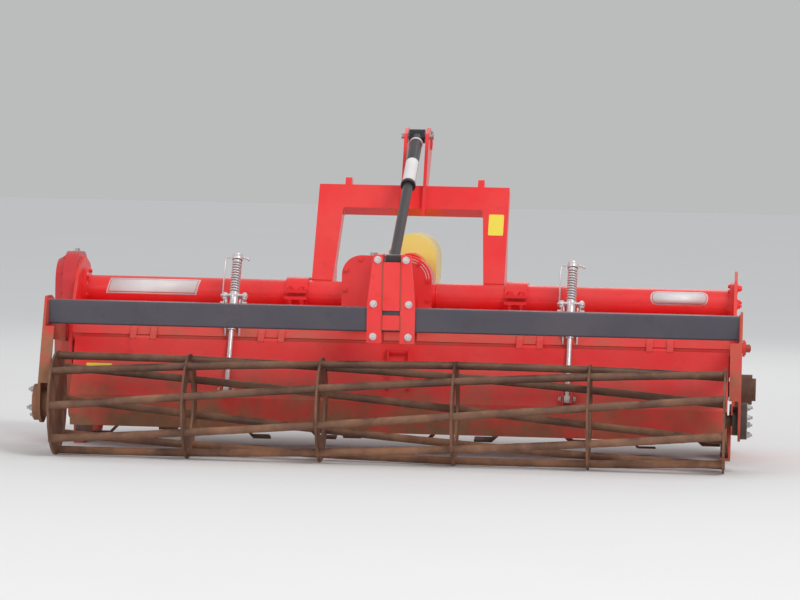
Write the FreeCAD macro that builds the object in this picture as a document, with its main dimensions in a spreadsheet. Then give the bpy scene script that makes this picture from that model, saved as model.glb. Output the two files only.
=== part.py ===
import FreeCAD, Part
import math
import os
from types import SimpleNamespace

import Sketcher

# A three-point-mounted rotary tiller with a helical cage roller.
# +X is to the right seen from behind, +Y is the way it travels, +Z is up.
# Places in Y are counted from the rotor's axis; origin_back moves the origin to the middle.
# Lengths are millimetres and angles are degrees.
DRIVING = (
    # alias, value, what it is
    ("origin_back", 184, "rotor axis ahead of the frame's origin"),
    ("weld", 1, "how far welded pieces run into each other"),
    ("cut_over", 5, "how far a cutter runs past what it cuts"),
    ("end_flat", 1, "flat left where two round corners meet"),
    ("side_play", 1, "side clearance of a turning piece"),
    ("shaft_end_gap", 12, "end of a shaft to the bottom of its bore"),
    ("plate_inner", 1270, "middle of the machine to the inside of a side plate"),
    ("plate_thick", 12, "side plate"),
    ("case_back", 42, "depth of the drive case's back half"),
    ("case_front", 50, "depth of the drive case's cover"),
    ("tube_axis_up", 591, "height of the main tube's axis"),
    ("tube_radius", 54, "main tube outside"),
    ("tube_wall", 8, "main tube wall"),
    ("flange_radius", 84, "flanges on the main tube"),
    ("flange_thick", 16, "flanges on the main tube"),
    ("flange_seat", 0.3, "flats of the flanges above the hood"),
    ("plate_rear", -270, "rear edge of a side plate"),
    ("plate_front", 340, "front edge of a side plate"),
    ("plate_low", 92, "lower edge of a side plate"),
    ("plate_shoulder", 460, "height of a side plate's shoulders"),
    ("plate_top", 723, "top of a side plate"),
    ("plate_head_half", 120, "half the width of a side plate's head"),
    ("plate_head_drop", 40, "corners of a side plate's head below its top"),
    ("plate_toe_up", 12, "rear corners of a side plate above its other corners"),
    ("plate_chin", 94, "cut-back of a side plate's lower front corner"),
    ("plate_neck", 150, "top of a side plate's front edge below its shoulder"),
    ("plate_neck_in", 40, "front shoulder behind the front edge"),
    ("plate_corner", 30, "small corners of a side plate"),
    ("plate_round", 60, "large corners of a side plate"),
    ("plate_crown", 90, "round top of a side plate"),
    ("plate_bore_gap", 8, "rotor shaft to the side plate's bore"),
    ("case_top_radius", 134, "case round the main tube"),
    ("case_low_radius", 124, "case round the rotor"),
    ("case_rim", 11, "flange round the case"),
    ("case_draft", 18, "cover's outer face inside its foot"),
    ("case_flat", 30, "half the flat left at each end of the case"),
    ("case_boss", 6, "height of the bosses on the case's cover"),
    ("case_boss_radius", 72, "boss over the rotor's bearing"),
    ("case_head_radius", 82, "boss over the upper shaft"),
    ("case_wall", 12, "wall of the case at the rotor's shaft"),
    ("rotor_up", 262, "height of the rotor's axis"),
    ("rotor_tube_radius", 45, "rotor tube"),
    ("rotor_gap", 12, "rotor tube to side plate"),
    ("rotor_shaft_radius", 30, "rotor's stub shafts"),
    ("run_gap", 0.08, "clearance of a running fit"),
    ("hub_radius", 58, "rotor bearing hub"),
    ("hub_deep", 66, "rotor bearing hub"),
    ("hub_cap_deep", 14, "cap of the rotor bearing hub"),
    ("hub_cap_radius", 44, "cap of the rotor bearing hub"),
    ("hub_flange_thick", 14, "flange of the rotor bearing hub"),
    ("hub_flange_radius", 80, "flange of the rotor bearing hub"),
    ("hub_wall", 4, "wall at the end of the rotor's bore"),
    ("rotor_flange_radius", 115, "blade flange"),
    ("rotor_flange_thick", 10, "blade flange"),
    ("rotor_row_end", 20, "row of blades ends this far inside a side plate"),
    ("rotor_flange_count", 10, "flanges on the rotor"),
    ("flange_land", 18, "half the angle that a flange gives to each blade"),
    ("blades_per_flange", 6, "blades on a flange"),
    ("blade_stagger", 22, "turn from one flange's blades to the next"),
    ("blade_thick", 8, "blade"),
    ("blade_root", 62, "radius where a blade's shank starts"),
    ("blade_reach", 239, "radius of a blade's leg"),
    ("blade_leg", 100, "length of a blade's leg along the rotor"),
    ("blade_bend", 26, "chamfer at a blade's bend"),
    ("blade_sweep", 16, "a blade's leg trails its shank"),
    ("blade_belly_up", 96, "widest place of a blade above its root"),
    ("blade_swell", 3, "a blade's front edge swells"),
    ("blade_width", 50, "blade's shank"),
    ("hood_thick", 5, "hood sheet"),
    ("hood_gap", 0.5, "hood to main tube"),
    ("hood_flat", 120, "half the width of the hood's flat top"),
    ("hood_rear_bend", -200, "rear bend of the hood"),
    ("hood_rear_up", 502, "height of the rear bend"),
    ("hinge_back", -275, "trailing board's hinge line"),
    ("hinge_up", 415, "trailing board's hinge line"),
    ("hood_edge_back", -262, "rear edge of the hood"),
    ("hood_edge_up", 432, "rear edge of the hood"),
    ("hood_front_bend", 255, "front bend of the hood"),
    ("hood_front_up", 470, "height of the front bend"),
    ("hood_lip_front", 340, "front lip of the hood"),
    ("hood_lip_up", 285, "lower edge of the front lip"),
    ("hood_lip_in", 10, "top of the front lip behind its edge"),
    ("hood_lip_tall", 60, "front lip"),
    ("board_thick", 5, "trailing board sheet"),
    ("board_gap", 14, "trailing board to a side plate"),
    ("board_band_back", -311, "first fold of the trailing board"),
    ("board_band_up", 345, "first fold of the trailing board"),
    ("board_belly_back", -392, "second fold of the trailing board"),
    ("board_belly_up", 205, "second fold of the trailing board"),
    ("board_edge_back", -375, "lower edge of the trailing board"),
    ("board_edge_up", 85, "lower edge of the trailing board"),
    ("hinge_place_near", 497, "inner hinges of the board"),
    ("hinge_place_far", 993, "outer hinges of the board"),
    ("hinge_pin_radius", 7, "hinge pin"),
    ("hinge_barrel_radius", 13, "hinge barrel"),
    ("hinge_barrel_long", 52, "middle barrel of a hinge"),
    ("hinge_side_long", 24, "outer barrels of a hinge"),
    ("hinge_side_gap", 1, "between the barrels of a hinge"),
    ("board_rise", 5, "top edge of the board above its hinge line"),
    ("hinge_relief", 3, "cut-out in the board round an outer barrel"),
    ("leaf_rise", 16, "top of a hinge leaf above the hood's edge"),
    ("leaf_run", 22, "hinge leaf along the hood"),
    ("leaf_inset", 3, "hinge leaf inside its barrel's outline"),
    ("rod_place", 650, "board rod from the middle"),
    ("rod_radius", 9, "board rod"),
    ("rod_eye_back", -400, "rod's eye on the board"),
    ("rod_eye_up", 235, "rod's eye on the board"),
    ("rod_guide_back", -235, "rod's guide on the hood"),
    ("rod_guide_up", 550, "rod's guide on the hood"),
    ("rod_over", 216, "rod above its guide"),
    ("rod_eye_radius", 15, "rod's eye"),
    ("rod_eye_side", 2, "side clearance of a rod's eye"),
    ("eye_wall", 4, "a rod's shank starts this far above its pin"),
    ("rod_eye_play", 1.2, "rod's eye round its pin"),
    ("rod_pin_radius", 7, "pins of the board rods"),
    ("rod_ear_gap", 13, "middle of a rod to the inside of an ear"),
    ("rod_ear_thick", 6, "ears that hold the rods"),
    ("rod_ear_half", 18, "half the width of an ear on the board"),
    ("ear_below", 26, "foot of a board ear below its pin"),
    ("ear_above", 36, "top of a board ear above its pin"),
    ("ear_round", 12, "corners of an ear"),
    ("small_pin_over", 4, "a small pin beyond its ears"),
    ("guide_gap", 24, "middle of a rod to the inside of a guide's ear"),
    ("guide_half", 24, "half the width of a guide's ear"),
    ("guide_top", 575, "top of a guide's ears"),
    ("bush_radius", 17, "guide bush"),
    ("bush_half", 18, "half the length of a guide bush"),
    ("spring_radius", 19.5, "spring on a board rod"),
    ("spring_inside", 12, "inside of the spring"),
    ("spring_cap_gap", 0.4, "spring to the cap over it"),
    ("cap_radius", 19, "cap on a board rod"),
    ("cap_long", 22, "cap on a board rod"),
    ("collar_down", 92, "collar below the guide"),
    ("collar_long", 12, "collar on a board rod"),
    ("collar_radius", 15, "collar on a board rod"),
    ("gearbox_left", -231, "rear cover of the gearbox, left"),
    ("gearbox_right", 115, "rear cover of the gearbox, right"),
    ("gearbox_low", 480, "rear cover of the gearbox, lower edge"),
    ("gearbox_top", 756, "rear cover of the gearbox, top"),
    ("gearbox_rear", -250, "rear face of the cover"),
    ("cover_thick", 26, "gearbox cover"),
    ("casting_inset", 14, "gearbox casting inside its cover's outline"),
    ("casting_low", 539, "underside of the gearbox casting"),
    ("casting_front", 70, "front of the gearbox casting"),
    ("left_corner", 75, "gearbox's upper left corner"),
    ("right_corner", 90, "gearbox's upper right corner"),
    ("low_corner", 24, "gearbox's lower corners"),
    ("boss_inset", 2, "gearbox bosses smaller than the main tube"),
    ("boss_long", 16, "bosses that carry the main tube"),
    ("shaft_up", 690, "height of the input shaft"),
    ("nose_radius", 66, "gearbox nose round the input shaft"),
    ("nose_front", 160, "front of the gearbox nose"),
    ("shaft_bore", 60, "depth of the input shaft's bore in the nose"),
    ("housing_radius", 52, "input shaft housing"),
    ("housing_front", 205, "front of the input shaft housing"),
    ("shaft_radius", 17.45, "splined input shaft"),
    ("spline_deep", 2.6, "depth of a spline's groove"),
    ("spline_wide", 8.7, "width of a spline"),
    ("spline_count", 6, "splines"),
    ("spline_start", 20, "start of the splines ahead of the housing"),
    ("shaft_front", 345, "end of the input shaft"),
    ("guard_radius", 95, "shaft guard"),
    ("guard_low_up", 660, "lower centre of the guard's section"),
    ("guard_high_up", 733, "upper centre of the guard's section"),
    ("guard_wall", 4, "shaft guard wall"),
    ("guard_hole_gap", 8, "input shaft to the guard's hole"),
    ("guard_front", 460, "front of the shaft guard"),
    ("frame_half", 377, "half the width of the hitch frame"),
    ("frame_foot_wide", 80, "leg of the hitch frame at its foot"),
    ("frame_head_wide", 101, "leg of the hitch frame at its head"),
    ("frame_deep", 60, "depth of the hitch frame"),
    ("frame_bar", 104, "crossbar's height along the slant"),
    ("frame_foot_ahead", 22, "foot of the hitch frame"),
    ("frame_head_ahead", 264, "head of the hitch frame"),
    ("frame_head_room", 175, "head of the hitch frame above the shaft guard"),
    ("frame_foot_over", 9, "foot of the hitch frame above the main tube's axis"),
    ("frame_corner", 5, "outer corners of the hitch frame"),
    ("frame_inner_corner", 8, "inner corners of the hitch frame"),
    ("gusset_thick", 8, "gussets in front of the legs"),
    ("gusset_under", 140, "gussets end this far below the head, along the slant of the legs"),
    ("gusset_ahead", 190, "front of a gusset's foot"),
    ("gusset_up", 648, "foot of a gusset"),
    ("lug_place", 263, "lug from the middle"),
    ("lug_wide", 25, "lug"),
    ("lug_round", 12, "corners of a lug"),
    ("lug_tall", 38, "lug above the crossbar"),
    ("mast_inner", 36, "inside of a mast plate"),
    ("mast_thick", 13, "mast plate"),
    ("mast_rear_foot", 112, "rear corner of a mast plate's foot behind the crossbar's head"),
    ("mast_overlap", 100, "lower edge of a mast plate below the crossbar's head"),
    ("mast_rear_head", 34, "rear corner of a mast plate's head behind the strut's pin"),
    ("mast_over", 37, "top of a mast plate above the strut's pin"),
    ("mast_front", 40, "front of a mast plate beyond the top link's pin"),
    ("mast_round", 26, "corners of a mast plate"),
    ("mast_nose", 40, "half the height of a mast plate's front edge"),
    ("mast_crown", 70, "top edge of a mast plate"),
    ("mast_head_drop", 30, "rear corner of the head below the top"),
    ("pin_over", 14, "a large pin beyond its plates"),
    ("link_ahead", 138, "top link's pin ahead of the crossbar's head"),
    ("link_over", 181, "top link's pin above the crossbar's head"),
    ("link_radius", 12.75, "bore for the top link's pin"),
    ("strut_top_ahead", 54, "strut's upper pin ahead of the crossbar's head"),
    ("strut_top_over", 211, "strut's upper pin above the crossbar's head"),
    ("strut_pin_radius", 12.5, "strut's pins"),
    ("strut_foot_ahead", 20, "strut's lower pin ahead of the beam's axis"),
    ("strut_foot_over", 170, "strut's lower pin above the beam"),
    ("strut_head_radius", 29, "strut's upper eye"),
    ("strut_foot_radius", 28, "strut's lower eye"),
    ("strut_foot_play", 2.5, "strut's lower eye round its pin"),
    ("strut_side_gap", 5, "strut's eyes to the plates beside them"),
    ("strut_neck", 4, "strut's tubes run this far into their eyes"),
    ("barrel_radius", 25, "strut barrel"),
    ("barrel_long", 424, "strut barrel from its pin"),
    ("bar_radius", 19.5, "strut bar"),
    ("bar_in", 165, "strut bar inside the barrel"),
    ("barrel_bottom", 62, "barrel's blind end from its pin"),
    ("link_plate_inner", 385, "inner plate of a lower hitch bracket"),
    ("link_plate_outer", 457, "outer plate of a lower hitch bracket"),
    ("link_plate_thick", 14, "plate of a lower hitch bracket"),
    ("lower_ahead", 498, "lower link's pin"),
    ("lower_up", 575, "lower link's pin"),
    ("lower_radius", 14.25, "bore for a lower link's pin"),
    ("lower_eye", 44, "end of a lower hitch plate"),
    ("lower_top", 652, "top of a lower hitch bracket"),
    ("lower_foot", 548, "underside of a lower hitch bracket"),
    ("lower_sweep", 30, "rise of a lower hitch plate behind its top edge"),
    ("lower_top_drop", 12, "front of a lower hitch plate's top edge"),
    ("lower_web_tall", 44, "web between the plates"),
    ("lower_web_thick", 8, "web beyond the main tube"),
    ("clamp_thick", 12, "clamp round the main tube"),
    ("ear_reach", 34, "clamp's ears behind the main tube"),
    ("clamp_ear_thick", 12, "ear of a clamp"),
    ("clamp_slit", 14, "slit between a clamp's ears"),
    ("pivot_back", -228, "roller frame's pivot"),
    ("pivot_up", 435, "roller frame's pivot"),
    ("pivot_radius", 20, "roller frame's pivot pin"),
    ("pivot_boss_radius", 32, "boss on a side plate"),
    ("pivot_cap", 9, "cap that keeps a roller arm on its pin"),
    ("arm_gap", 14, "side plate to a roller arm"),
    ("arm_thick", 10, "roller arm"),
    ("arm_nose", 44, "rounded end of a roller arm"),
    ("arm_flange_deep", 34, "flange on a roller arm's rear edge"),
    ("arm_flange_thick", 10, "flange on a roller arm's rear edge"),
    ("arm_rear_gap", 4, "arm's rear edge behind the beam"),
    ("arm_top_gap", 14, "arm's top edge above the beam"),
    ("arm_under", 62, "arm's underside below the beam"),
    ("arm_foot_up", 60, "arm's front edge above the roller's axis"),
    ("arm_corner", 14, "small corners of a roller arm"),
    ("arm_round", 55, "large corners of a roller arm"),
    ("arm_foot_round", 70, "round foot of a roller arm"),
    ("beam_size", 90, "roller beam"),
    ("beam_wall", 8, "roller beam wall"),
    ("beam_corner", 8, "corners of the beam"),
    ("beam_seat", 6, "flange of a roller arm below the beam"),
    ("beam_back", -620, "roller beam's axis"),
    ("beam_up", 532, "roller beam's axis"),
    ("roller_back", -713, "roller's axis"),
    ("roller_radius", 195, "roller outside"),
    ("bar_size", 30, "roller bar across"),
    ("disc_thick", 8, "roller disc"),
    ("disc_gap", 26, "end disc to its bearing"),
    ("bar_inset", 2, "roller bars inside the discs' rims"),
    ("bar_sides", 8, "faces of a roller bar"),
    ("disc_hole", 105, "hole in a middle disc"),
    ("disc_count", 6, "discs of the roller"),
    ("roller_bars", 8, "bars of the roller"),
    ("roller_twist", 75, "twist of the bars from end to end"),
    ("roller_shaft_radius", 20, "roller's stub shafts"),
    ("bearing_inset", 20, "roller bearing inside its arm"),
    ("bearing_deep", 23, "roller bearing outside its arm"),
    ("bearing_hub_wall", 12, "inner hub of a roller bearing"),
    ("bearing_rim", 8, "arm's foot round its bearing"),
    ("bearing_cap", 6, "wall at the end of a bearing's bore"),
    ("bearing_radius", 76, "roller bearing flange"),
    ("bearing_neck", 42, "roller bearing through its arm"),
    ("bracket_inner", 34, "inside of a centre bracket"),
    ("bracket_outer", 90, "outside of a centre bracket"),
    ("bracket_head_outer", 70, "outside of a centre bracket at its top"),
    ("bracket_thick", 10, "centre bracket plate"),
    ("bracket_under", 42, "centre brackets below the beam"),
    ("bracket_over", 29, "top of the centre brackets above the strut's lower pin"),
    ("bracket_head_half", 34, "half the width of a bracket's head"),
    ("bracket_round", 26, "corners of a bracket's head"),
    ("bracket_front_up", 40, "front flange above the beam"),
    ("bracket_rear_up", 16, "rear flange narrows this far above the beam"),
    ("shield_lap", 9, "plate behind the strut's foot laps over the beam"),
    ("shield_over", 1, "plate behind the strut's foot above the strut's lower pin"),
    ("tie_low", 8, "tie between the brackets above the beam's underside"),
    ("tie_high", 18, "tie between the brackets above the beam's axis"),
    ("skid_thick", 8, "skid web"),
    ("skid_wide", 40, "skid runner"),
    ("skid_floor", 10, "skid runner's thickness"),
    ("skid_rear", -205, "rear end of a skid"),
    ("skid_front", 215, "front of a skid's flat"),
    ("skid_nose", 318, "front end of a skid"),
    ("skid_nose_up", 120, "height of a skid's front end"),
    ("skid_top", 190, "top of a skid's web"),
    ("skid_round", 85, "bend of a skid's runner"),
    ("skid_web_corner", 20, "upper corners of a skid's web"),
    ("skid_web_back", 30, "web's lower front corner behind the runner's bend"),
    ("rail_radius", 17, "front guard rail"),
    ("rail_ahead", 372, "front guard rail"),
    ("rail_up", 318, "front guard rail"),
    ("rail_gap", 8, "front guard rail to a side plate"),
    ("rail_bracket_half", 8, "half the width of a guard bracket"),
    ("rail_bracket_tall", 10, "half the height of a guard bracket"),
)


class Size:
    """A number together with the sheet's formula for it."""

    def __init__(self, value, formula=None):
        self.value = float(value)
        self.formula = formula or f"({value})"

    def __add__(self, other):
        other = as_size(other)
        return Size(self.value + other.value, f"({self.formula} + {other.formula})")

    def __sub__(self, other):
        other = as_size(other)
        return Size(self.value - other.value, f"({self.formula} - {other.formula})")

    def __mul__(self, other):
        other = as_size(other)
        return Size(self.value * other.value, f"({self.formula} * {other.formula})")

    def __truediv__(self, other):
        other = as_size(other)
        return Size(self.value / other.value, f"({self.formula} / {other.formula})")

    def __rtruediv__(self, other):
        return as_size(other) / self

    def __neg__(self):
        return Size(-self.value, f"(-{self.formula})")

    def __radd__(self, other):
        return as_size(other) + self

    def __rsub__(self, other):
        return as_size(other) - self

    def __rmul__(self, other):
        return as_size(other) * self


def as_size(number):
    return number if isinstance(number, Size) else Size(number)


def cosine(angle):
    angle = as_size(angle)
    return Size(math.cos(math.radians(angle.value)), f"cos({angle.formula} * 1 deg)")


def sine(angle):
    angle = as_size(angle)
    return Size(math.sin(math.radians(angle.value)), f"sin({angle.formula} * 1 deg)")


def angle_of(across, along):
    """The angle whose tangent is across over along."""
    value = math.degrees(math.atan2(across.value, along.value))
    return Size(value, f"(atan2({across.formula}; {along.formula}) / 1 deg)")


def distance(across, along):
    value = math.hypot(across.value, along.value)
    return Size(value, f"sqrt({across.formula} ^ 2 + {along.formula} ^ 2)")


doc = FreeCAD.newDocument("rotary_tiller")
sheet = doc.addObject("Spreadsheet::Sheet", "sizes")
for row, (alias, value, meaning) in enumerate(DRIVING, start=1):
    sheet.set(f"A{row}", meaning)
    sheet.set(f"B{row}", str(value))
    sheet.setAlias(f"B{row}", alias)
doc.recompute()
s = SimpleNamespace(**{alias: Size(sheet.get(alias), f"sizes.{alias}") for alias, _, _ in DRIVING})

# Widths that follow from each other.
plate_outer = s.plate_inner + s.plate_thick
case_split = plate_outer + s.case_back
arm_inner = plate_outer + s.arm_gap
arm_outer = arm_inner + s.arm_thick
bearing_inner = arm_inner - s.bearing_inset
rotor_flange_pitch = (s.plate_inner - s.rotor_row_end) * 2 / s.rotor_flange_count

# Places that follow from each other: the crossbar clears the shaft guard, and the mast and the
# strut's upper pin stand on the crossbar; the strut's lower pin stands on the beam.
frame_foot_up = s.tube_axis_up + s.frame_foot_over
frame_head_up = s.guard_high_up + s.guard_radius + s.frame_head_room
frame_lean = angle_of(s.frame_head_ahead - s.frame_foot_ahead, frame_head_up - frame_foot_up)
frame_tall = distance(s.frame_head_ahead - s.frame_foot_ahead, frame_head_up - frame_foot_up)
link_ahead = s.frame_head_ahead + s.link_ahead
link_up = frame_head_up + s.link_over
strut_top_ahead = s.frame_head_ahead + s.strut_top_ahead
strut_top_up = frame_head_up + s.strut_top_over
mast_top = strut_top_up + s.mast_over
beam_half = s.beam_size / 2
strut_foot_back = s.beam_back + s.strut_foot_ahead
strut_foot_up = s.beam_up + beam_half + s.strut_foot_over
bracket_low = s.beam_up - beam_half - s.bracket_under
bracket_top = strut_foot_up + s.bracket_over

AXES = {"X": FreeCAD.Vector(1, 0, 0), "Y": FreeCAD.Vector(0, 1, 0), "Z": FreeCAD.Vector(0, 0, 1)}
PLANES = {"X": "YZ_Plane", "Y": "XZ_Plane", "Z": "XY_Plane"}
SIDES = (("left", -1), ("right", 1))
nodes = []


def bind(thing, **sizes):
    """Set properties of an object from sizes, with their formulas."""
    for name, size in sizes.items():
        thing.setExpression(name.replace("__", "."), as_size(size).formula)


def bind_place(thing, place):
    """Set an object's base point from three sizes."""
    for letter, size in zip("xyz", place):
        thing.setExpression(f"Placement.Base.{letter}", as_size(size).formula)


def node(thing, name):
    """Name a finished sub-part and put it in the machine's frame."""
    thing.Label = name
    thing.setExpression("Placement.Base.y", s.origin_back.formula)
    nodes.append(thing)
    return thing


def span(side, inner, outer):
    """The start and end along X of a piece on the left or the right."""
    inner, outer = as_size(inner), as_size(outer)
    return (inner, outer) if side > 0 else (-outer, -inner)


def pin_point(sketch, geometry, position, point):
    """Hold a sketch point at two sizes."""
    for kind, size in zip(("DistanceX", "DistanceY"), point):
        size = as_size(size)
        held = sketch.addConstraint(Sketcher.Constraint(kind, -1, 1, geometry, position, size.value))
        sketch.setExpression(f"Constraints[{held}]", size.formula)


def hold_radius(sketch, geometry, radius):
    held = sketch.addConstraint(Sketcher.Constraint("Radius", geometry, radius.value))
    sketch.setExpression(f"Constraints[{held}]", radius.formula)


def draw_outline(sketch, corners):
    """Draw a closed outline from corners (u, v) or (u, v, radius)."""
    points = [FreeCAD.Vector(as_size(c[0]).value, as_size(c[1]).value, 0) for c in corners]
    radii = [as_size(c[2]) if len(c) > 2 else None for c in corners]
    count = len(points)
    before, after, arcs = [], [], []
    for index, point in enumerate(points):
        to_last = (points[index - 1] - point).normalize()
        to_next = (points[(index + 1) % count] - point).normalize()
        if radii[index] is None:
            before.append(point)
            after.append(point)
            arcs.append(None)
            continue
        radius = radii[index].value
        half = to_last.getAngle(to_next) / 2
        before.append(point + to_last * (radius / math.tan(half)))
        after.append(point + to_next * (radius / math.tan(half)))
        centre = point + (to_last + to_next).normalize() * (radius / math.sin(half))
        turns_left = to_last.cross(to_next).z < 0
        first, last = (before[-1], after[-1]) if turns_left else (after[-1], before[-1])
        circle = Part.Circle(centre, AXES["Z"], radius)
        arc = Part.ArcOfCircle(circle, circle.parameter(first), circle.parameter(last))
        arcs.append((arc, turns_left))
    lines = [
        sketch.addGeometry(Part.LineSegment(after[index], before[(index + 1) % count]))
        for index in range(count)
    ]
    for index, corner in enumerate(corners):
        into, out_of = lines[index - 1], lines[index]
        if arcs[index] is None:
            sketch.addConstraint(Sketcher.Constraint("Coincident", into, 2, out_of, 1))
            pin_point(sketch, out_of, 1, corner[:2])
            continue
        arc, turns_left = arcs[index]
        arc = sketch.addGeometry(arc)
        start, end = (1, 2) if turns_left else (2, 1)
        sketch.addConstraint(Sketcher.Constraint("Tangent", into, 2, arc, start))
        sketch.addConstraint(Sketcher.Constraint("Tangent", arc, end, out_of, 1))
        hold_radius(sketch, arc, radii[index])
        tip = sketch.addGeometry(Part.Point(points[index]), True)
        pin_point(sketch, tip, 1, corner[:2])
        sketch.addConstraint(Sketcher.Constraint("PointOnObject", tip, 1, into))
        sketch.addConstraint(Sketcher.Constraint("PointOnObject", tip, 1, out_of))


def draw_circle(sketch, u, v, radius):
    centre = FreeCAD.Vector(as_size(u).value, as_size(v).value, 0)
    circle = sketch.addGeometry(Part.Circle(centre, AXES["Z"], as_size(radius).value))
    pin_point(sketch, circle, 3, (u, v))
    hold_radius(sketch, circle, as_size(radius))


def new_sketch(body, axis, place, outline=(), circles=()):
    """A sketch across an axis, at a place along it."""
    sketch = body.newObject("Sketcher::SketchObject", "outline")
    plane = next(f for f in body.Origin.OriginFeatures if f.Role == PLANES[axis])
    sketch.AttachmentSupport = [(plane, "")]
    sketch.MapMode = "FlatFace"
    offset = -as_size(place) if axis == "Y" else as_size(place)
    sketch.setExpression("AttachmentOffset.Base.z", offset.formula)
    if outline:
        draw_outline(sketch, outline)
    for circle in circles:
        draw_circle(sketch, *circle)
    return sketch


def add_slab(body, axis, start, end, outline=(), circles=()):
    """Pad an outline, with round holes, from start to end along an axis."""
    start, end = as_size(start), as_size(end)
    sketch = new_sketch(body, axis, end if axis == "Y" else start, outline, circles)
    pad = body.newObject("PartDesign::Pad", "slab")
    pad.Profile = sketch
    bind(pad, Length=end - start)
    return pad


def cut_slab(body, axis, start, end, outline=(), circles=()):
    """Pocket an outline out of a body from start to end along an axis."""
    start, end = as_size(start), as_size(end)
    sketch = new_sketch(body, axis, start if axis == "Y" else end, outline, circles)
    pocket = body.newObject("PartDesign::Pocket", "cut")
    pocket.Profile = sketch
    bind(pocket, Length=end - start)
    return pocket


def new_body():
    return doc.addObject("PartDesign::Body", "body")


def slab(axis, start, end, outline=(), circles=()):
    """A body of one pad."""
    body = new_body()
    add_slab(body, axis, start, end, outline, circles)
    return body


def cylinder(axis, start, end, centre, radius):
    """A round bar along an axis; centre holds its two other places."""
    start, end = as_size(start), as_size(end)
    bar = doc.addObject("Part::Cylinder", "bar")
    bar.Placement = FreeCAD.Placement(
        FreeCAD.Vector(), FreeCAD.Rotation(AXES["Z"], AXES[axis])
    )
    bind(bar, Radius=radius, Height=end - start)
    first, second = centre
    bind_place(bar, {"X": (start, first, second), "Y": (first, start, second)}[axis])
    return bar


def stepped(side, centre, steps):
    """Round steps on the left or right; each step is its inner end, outer end and radius."""
    return [cylinder("X", *span(side, inner, outer), centre, radius) for inner, outer, radius in steps]


def leaning_cylinder(place, lean, start, end, radius):
    """A round bar from a place in the YZ plane, leaning forward from upright by an angle."""
    bar = doc.addObject("Part::Cylinder", "bar")
    bar.Placement = FreeCAD.Placement(FreeCAD.Vector(), FreeCAD.Rotation(AXES["X"], 10))
    bind(bar, Radius=radius, Height=as_size(end) - start, Placement__Rotation__Angle=-as_size(lean))
    across, ahead, up = place
    bind_place(bar, (across, ahead + as_size(start) * sine(lean), up + as_size(start) * cosine(lean)))
    return bar


def box(start, end):
    """A block between two corners."""
    block = doc.addObject("Part::Box", "block")
    long, wide, tall = (as_size(e) - b for b, e in zip(start, end))
    bind(block, Length=long, Width=wide, Height=tall)
    bind_place(block, start)
    return block


def fuse(*shapes):
    joined = doc.addObject("Part::MultiFuse", "joined")
    joined.Shapes = list(shapes)
    return joined


def cut(base, *tools):
    piece = doc.addObject("Part::Cut", "piece")
    piece.Base = base
    piece.Tool = tools[0] if len(tools) == 1 else fuse(*tools)
    return piece


def group(*shapes):
    """Pieces that share a sub-part without touching."""
    held = doc.addObject("Part::Compound", "pieces")
    held.Links = list(shapes)
    return held


def sheet_section(path, thick):
    """The outline of a bent sheet from the points along its upper side."""
    normals = []
    for (u0, v0), (u1, v1) in zip(path, path[1:]):
        run, rise = as_size(u1) - u0, as_size(v1) - v0
        long = distance(run, rise)
        normals.append((rise / long, -(run / long)))
    under = []
    for index, (u, v) in enumerate(path):
        last, following = normals[max(index - 1, 0)], normals[min(index, len(normals) - 1)]
        share = thick / (last[0] * following[0] + last[1] * following[1] + 1)
        under.append((u + (last[0] + following[0]) * share, v + (last[1] + following[1]) * share))
    return list(path) + under[::-1]


def make_main_tubes():
    """Two lengths of the main tube, from the gearbox to the side plates, with a flange at the plate."""
    left_face = s.gearbox_left + s.casting_inset - s.boss_long
    right_face = s.gearbox_right - s.casting_inset + s.boss_long
    spans = (
        # name, left end, right end, start of the flange
        ("main_tube_left", -s.plate_inner, left_face, -s.plate_inner),
        ("main_tube_right", right_face, s.plate_inner, s.plate_inner - s.flange_thick),
    )
    bore = (0, s.tube_axis_up, s.tube_radius - s.tube_wall)
    for name, start, end, flange_start in spans:
        flange_end = flange_start + s.flange_thick
        tube = slab("X", start, end, circles=((*bore[:2], s.tube_radius), bore))
        add_slab(tube, "X", flange_start, flange_end, circles=((*bore[:2], s.flange_radius), bore))
        radius, low = s.flange_radius, hood_top() + s.flange_seat
        cut_slab(tube, "X", flange_start, flange_end, (
            (-radius, low - radius), (radius, low - radius), (radius, low), (-radius, low)))
        node(tube, name)


def make_side_plates():
    """End plates with a shoulder, a head round the main tube, and the bores for rotor and roller."""
    head_low = s.plate_top - s.plate_head_drop
    corners = (
        (s.plate_rear, s.plate_low + s.plate_toe_up, s.plate_corner),
        (s.plate_front - s.plate_chin, s.plate_low, s.plate_round),
        (s.plate_front, s.plate_low + s.plate_chin, s.plate_corner),
        (s.plate_front, s.plate_shoulder - s.plate_neck, s.plate_round),
        (s.plate_front - s.plate_neck_in, s.plate_shoulder, s.plate_corner),
        (s.plate_head_half, head_low, s.plate_round),
        (0, s.plate_top, s.plate_crown),
        (-s.plate_head_half, head_low, s.plate_round),
        (s.plate_rear, s.plate_shoulder + s.plate_toe_up, s.plate_corner),
    )
    bore = (0, s.rotor_up, s.rotor_shaft_radius + s.plate_bore_gap)
    for name, side in SIDES:
        plate = slab("X", *span(side, s.plate_inner, plate_outer), corners, circles=(bore,))
        node(plate, f"side_plate_{name}")


def case_corners(top_radius, low_radius):
    """The outline of the drive case: two round ends joined by its sides."""
    return (
        (-low_radius, s.rotor_up - low_radius, low_radius - s.case_flat),
        (low_radius, s.rotor_up - low_radius, low_radius - s.case_flat),
        (top_radius, s.tube_axis_up + top_radius, top_radius - s.case_flat),
        (-top_radius, s.tube_axis_up + top_radius, top_radius - s.case_flat),
    )


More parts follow.
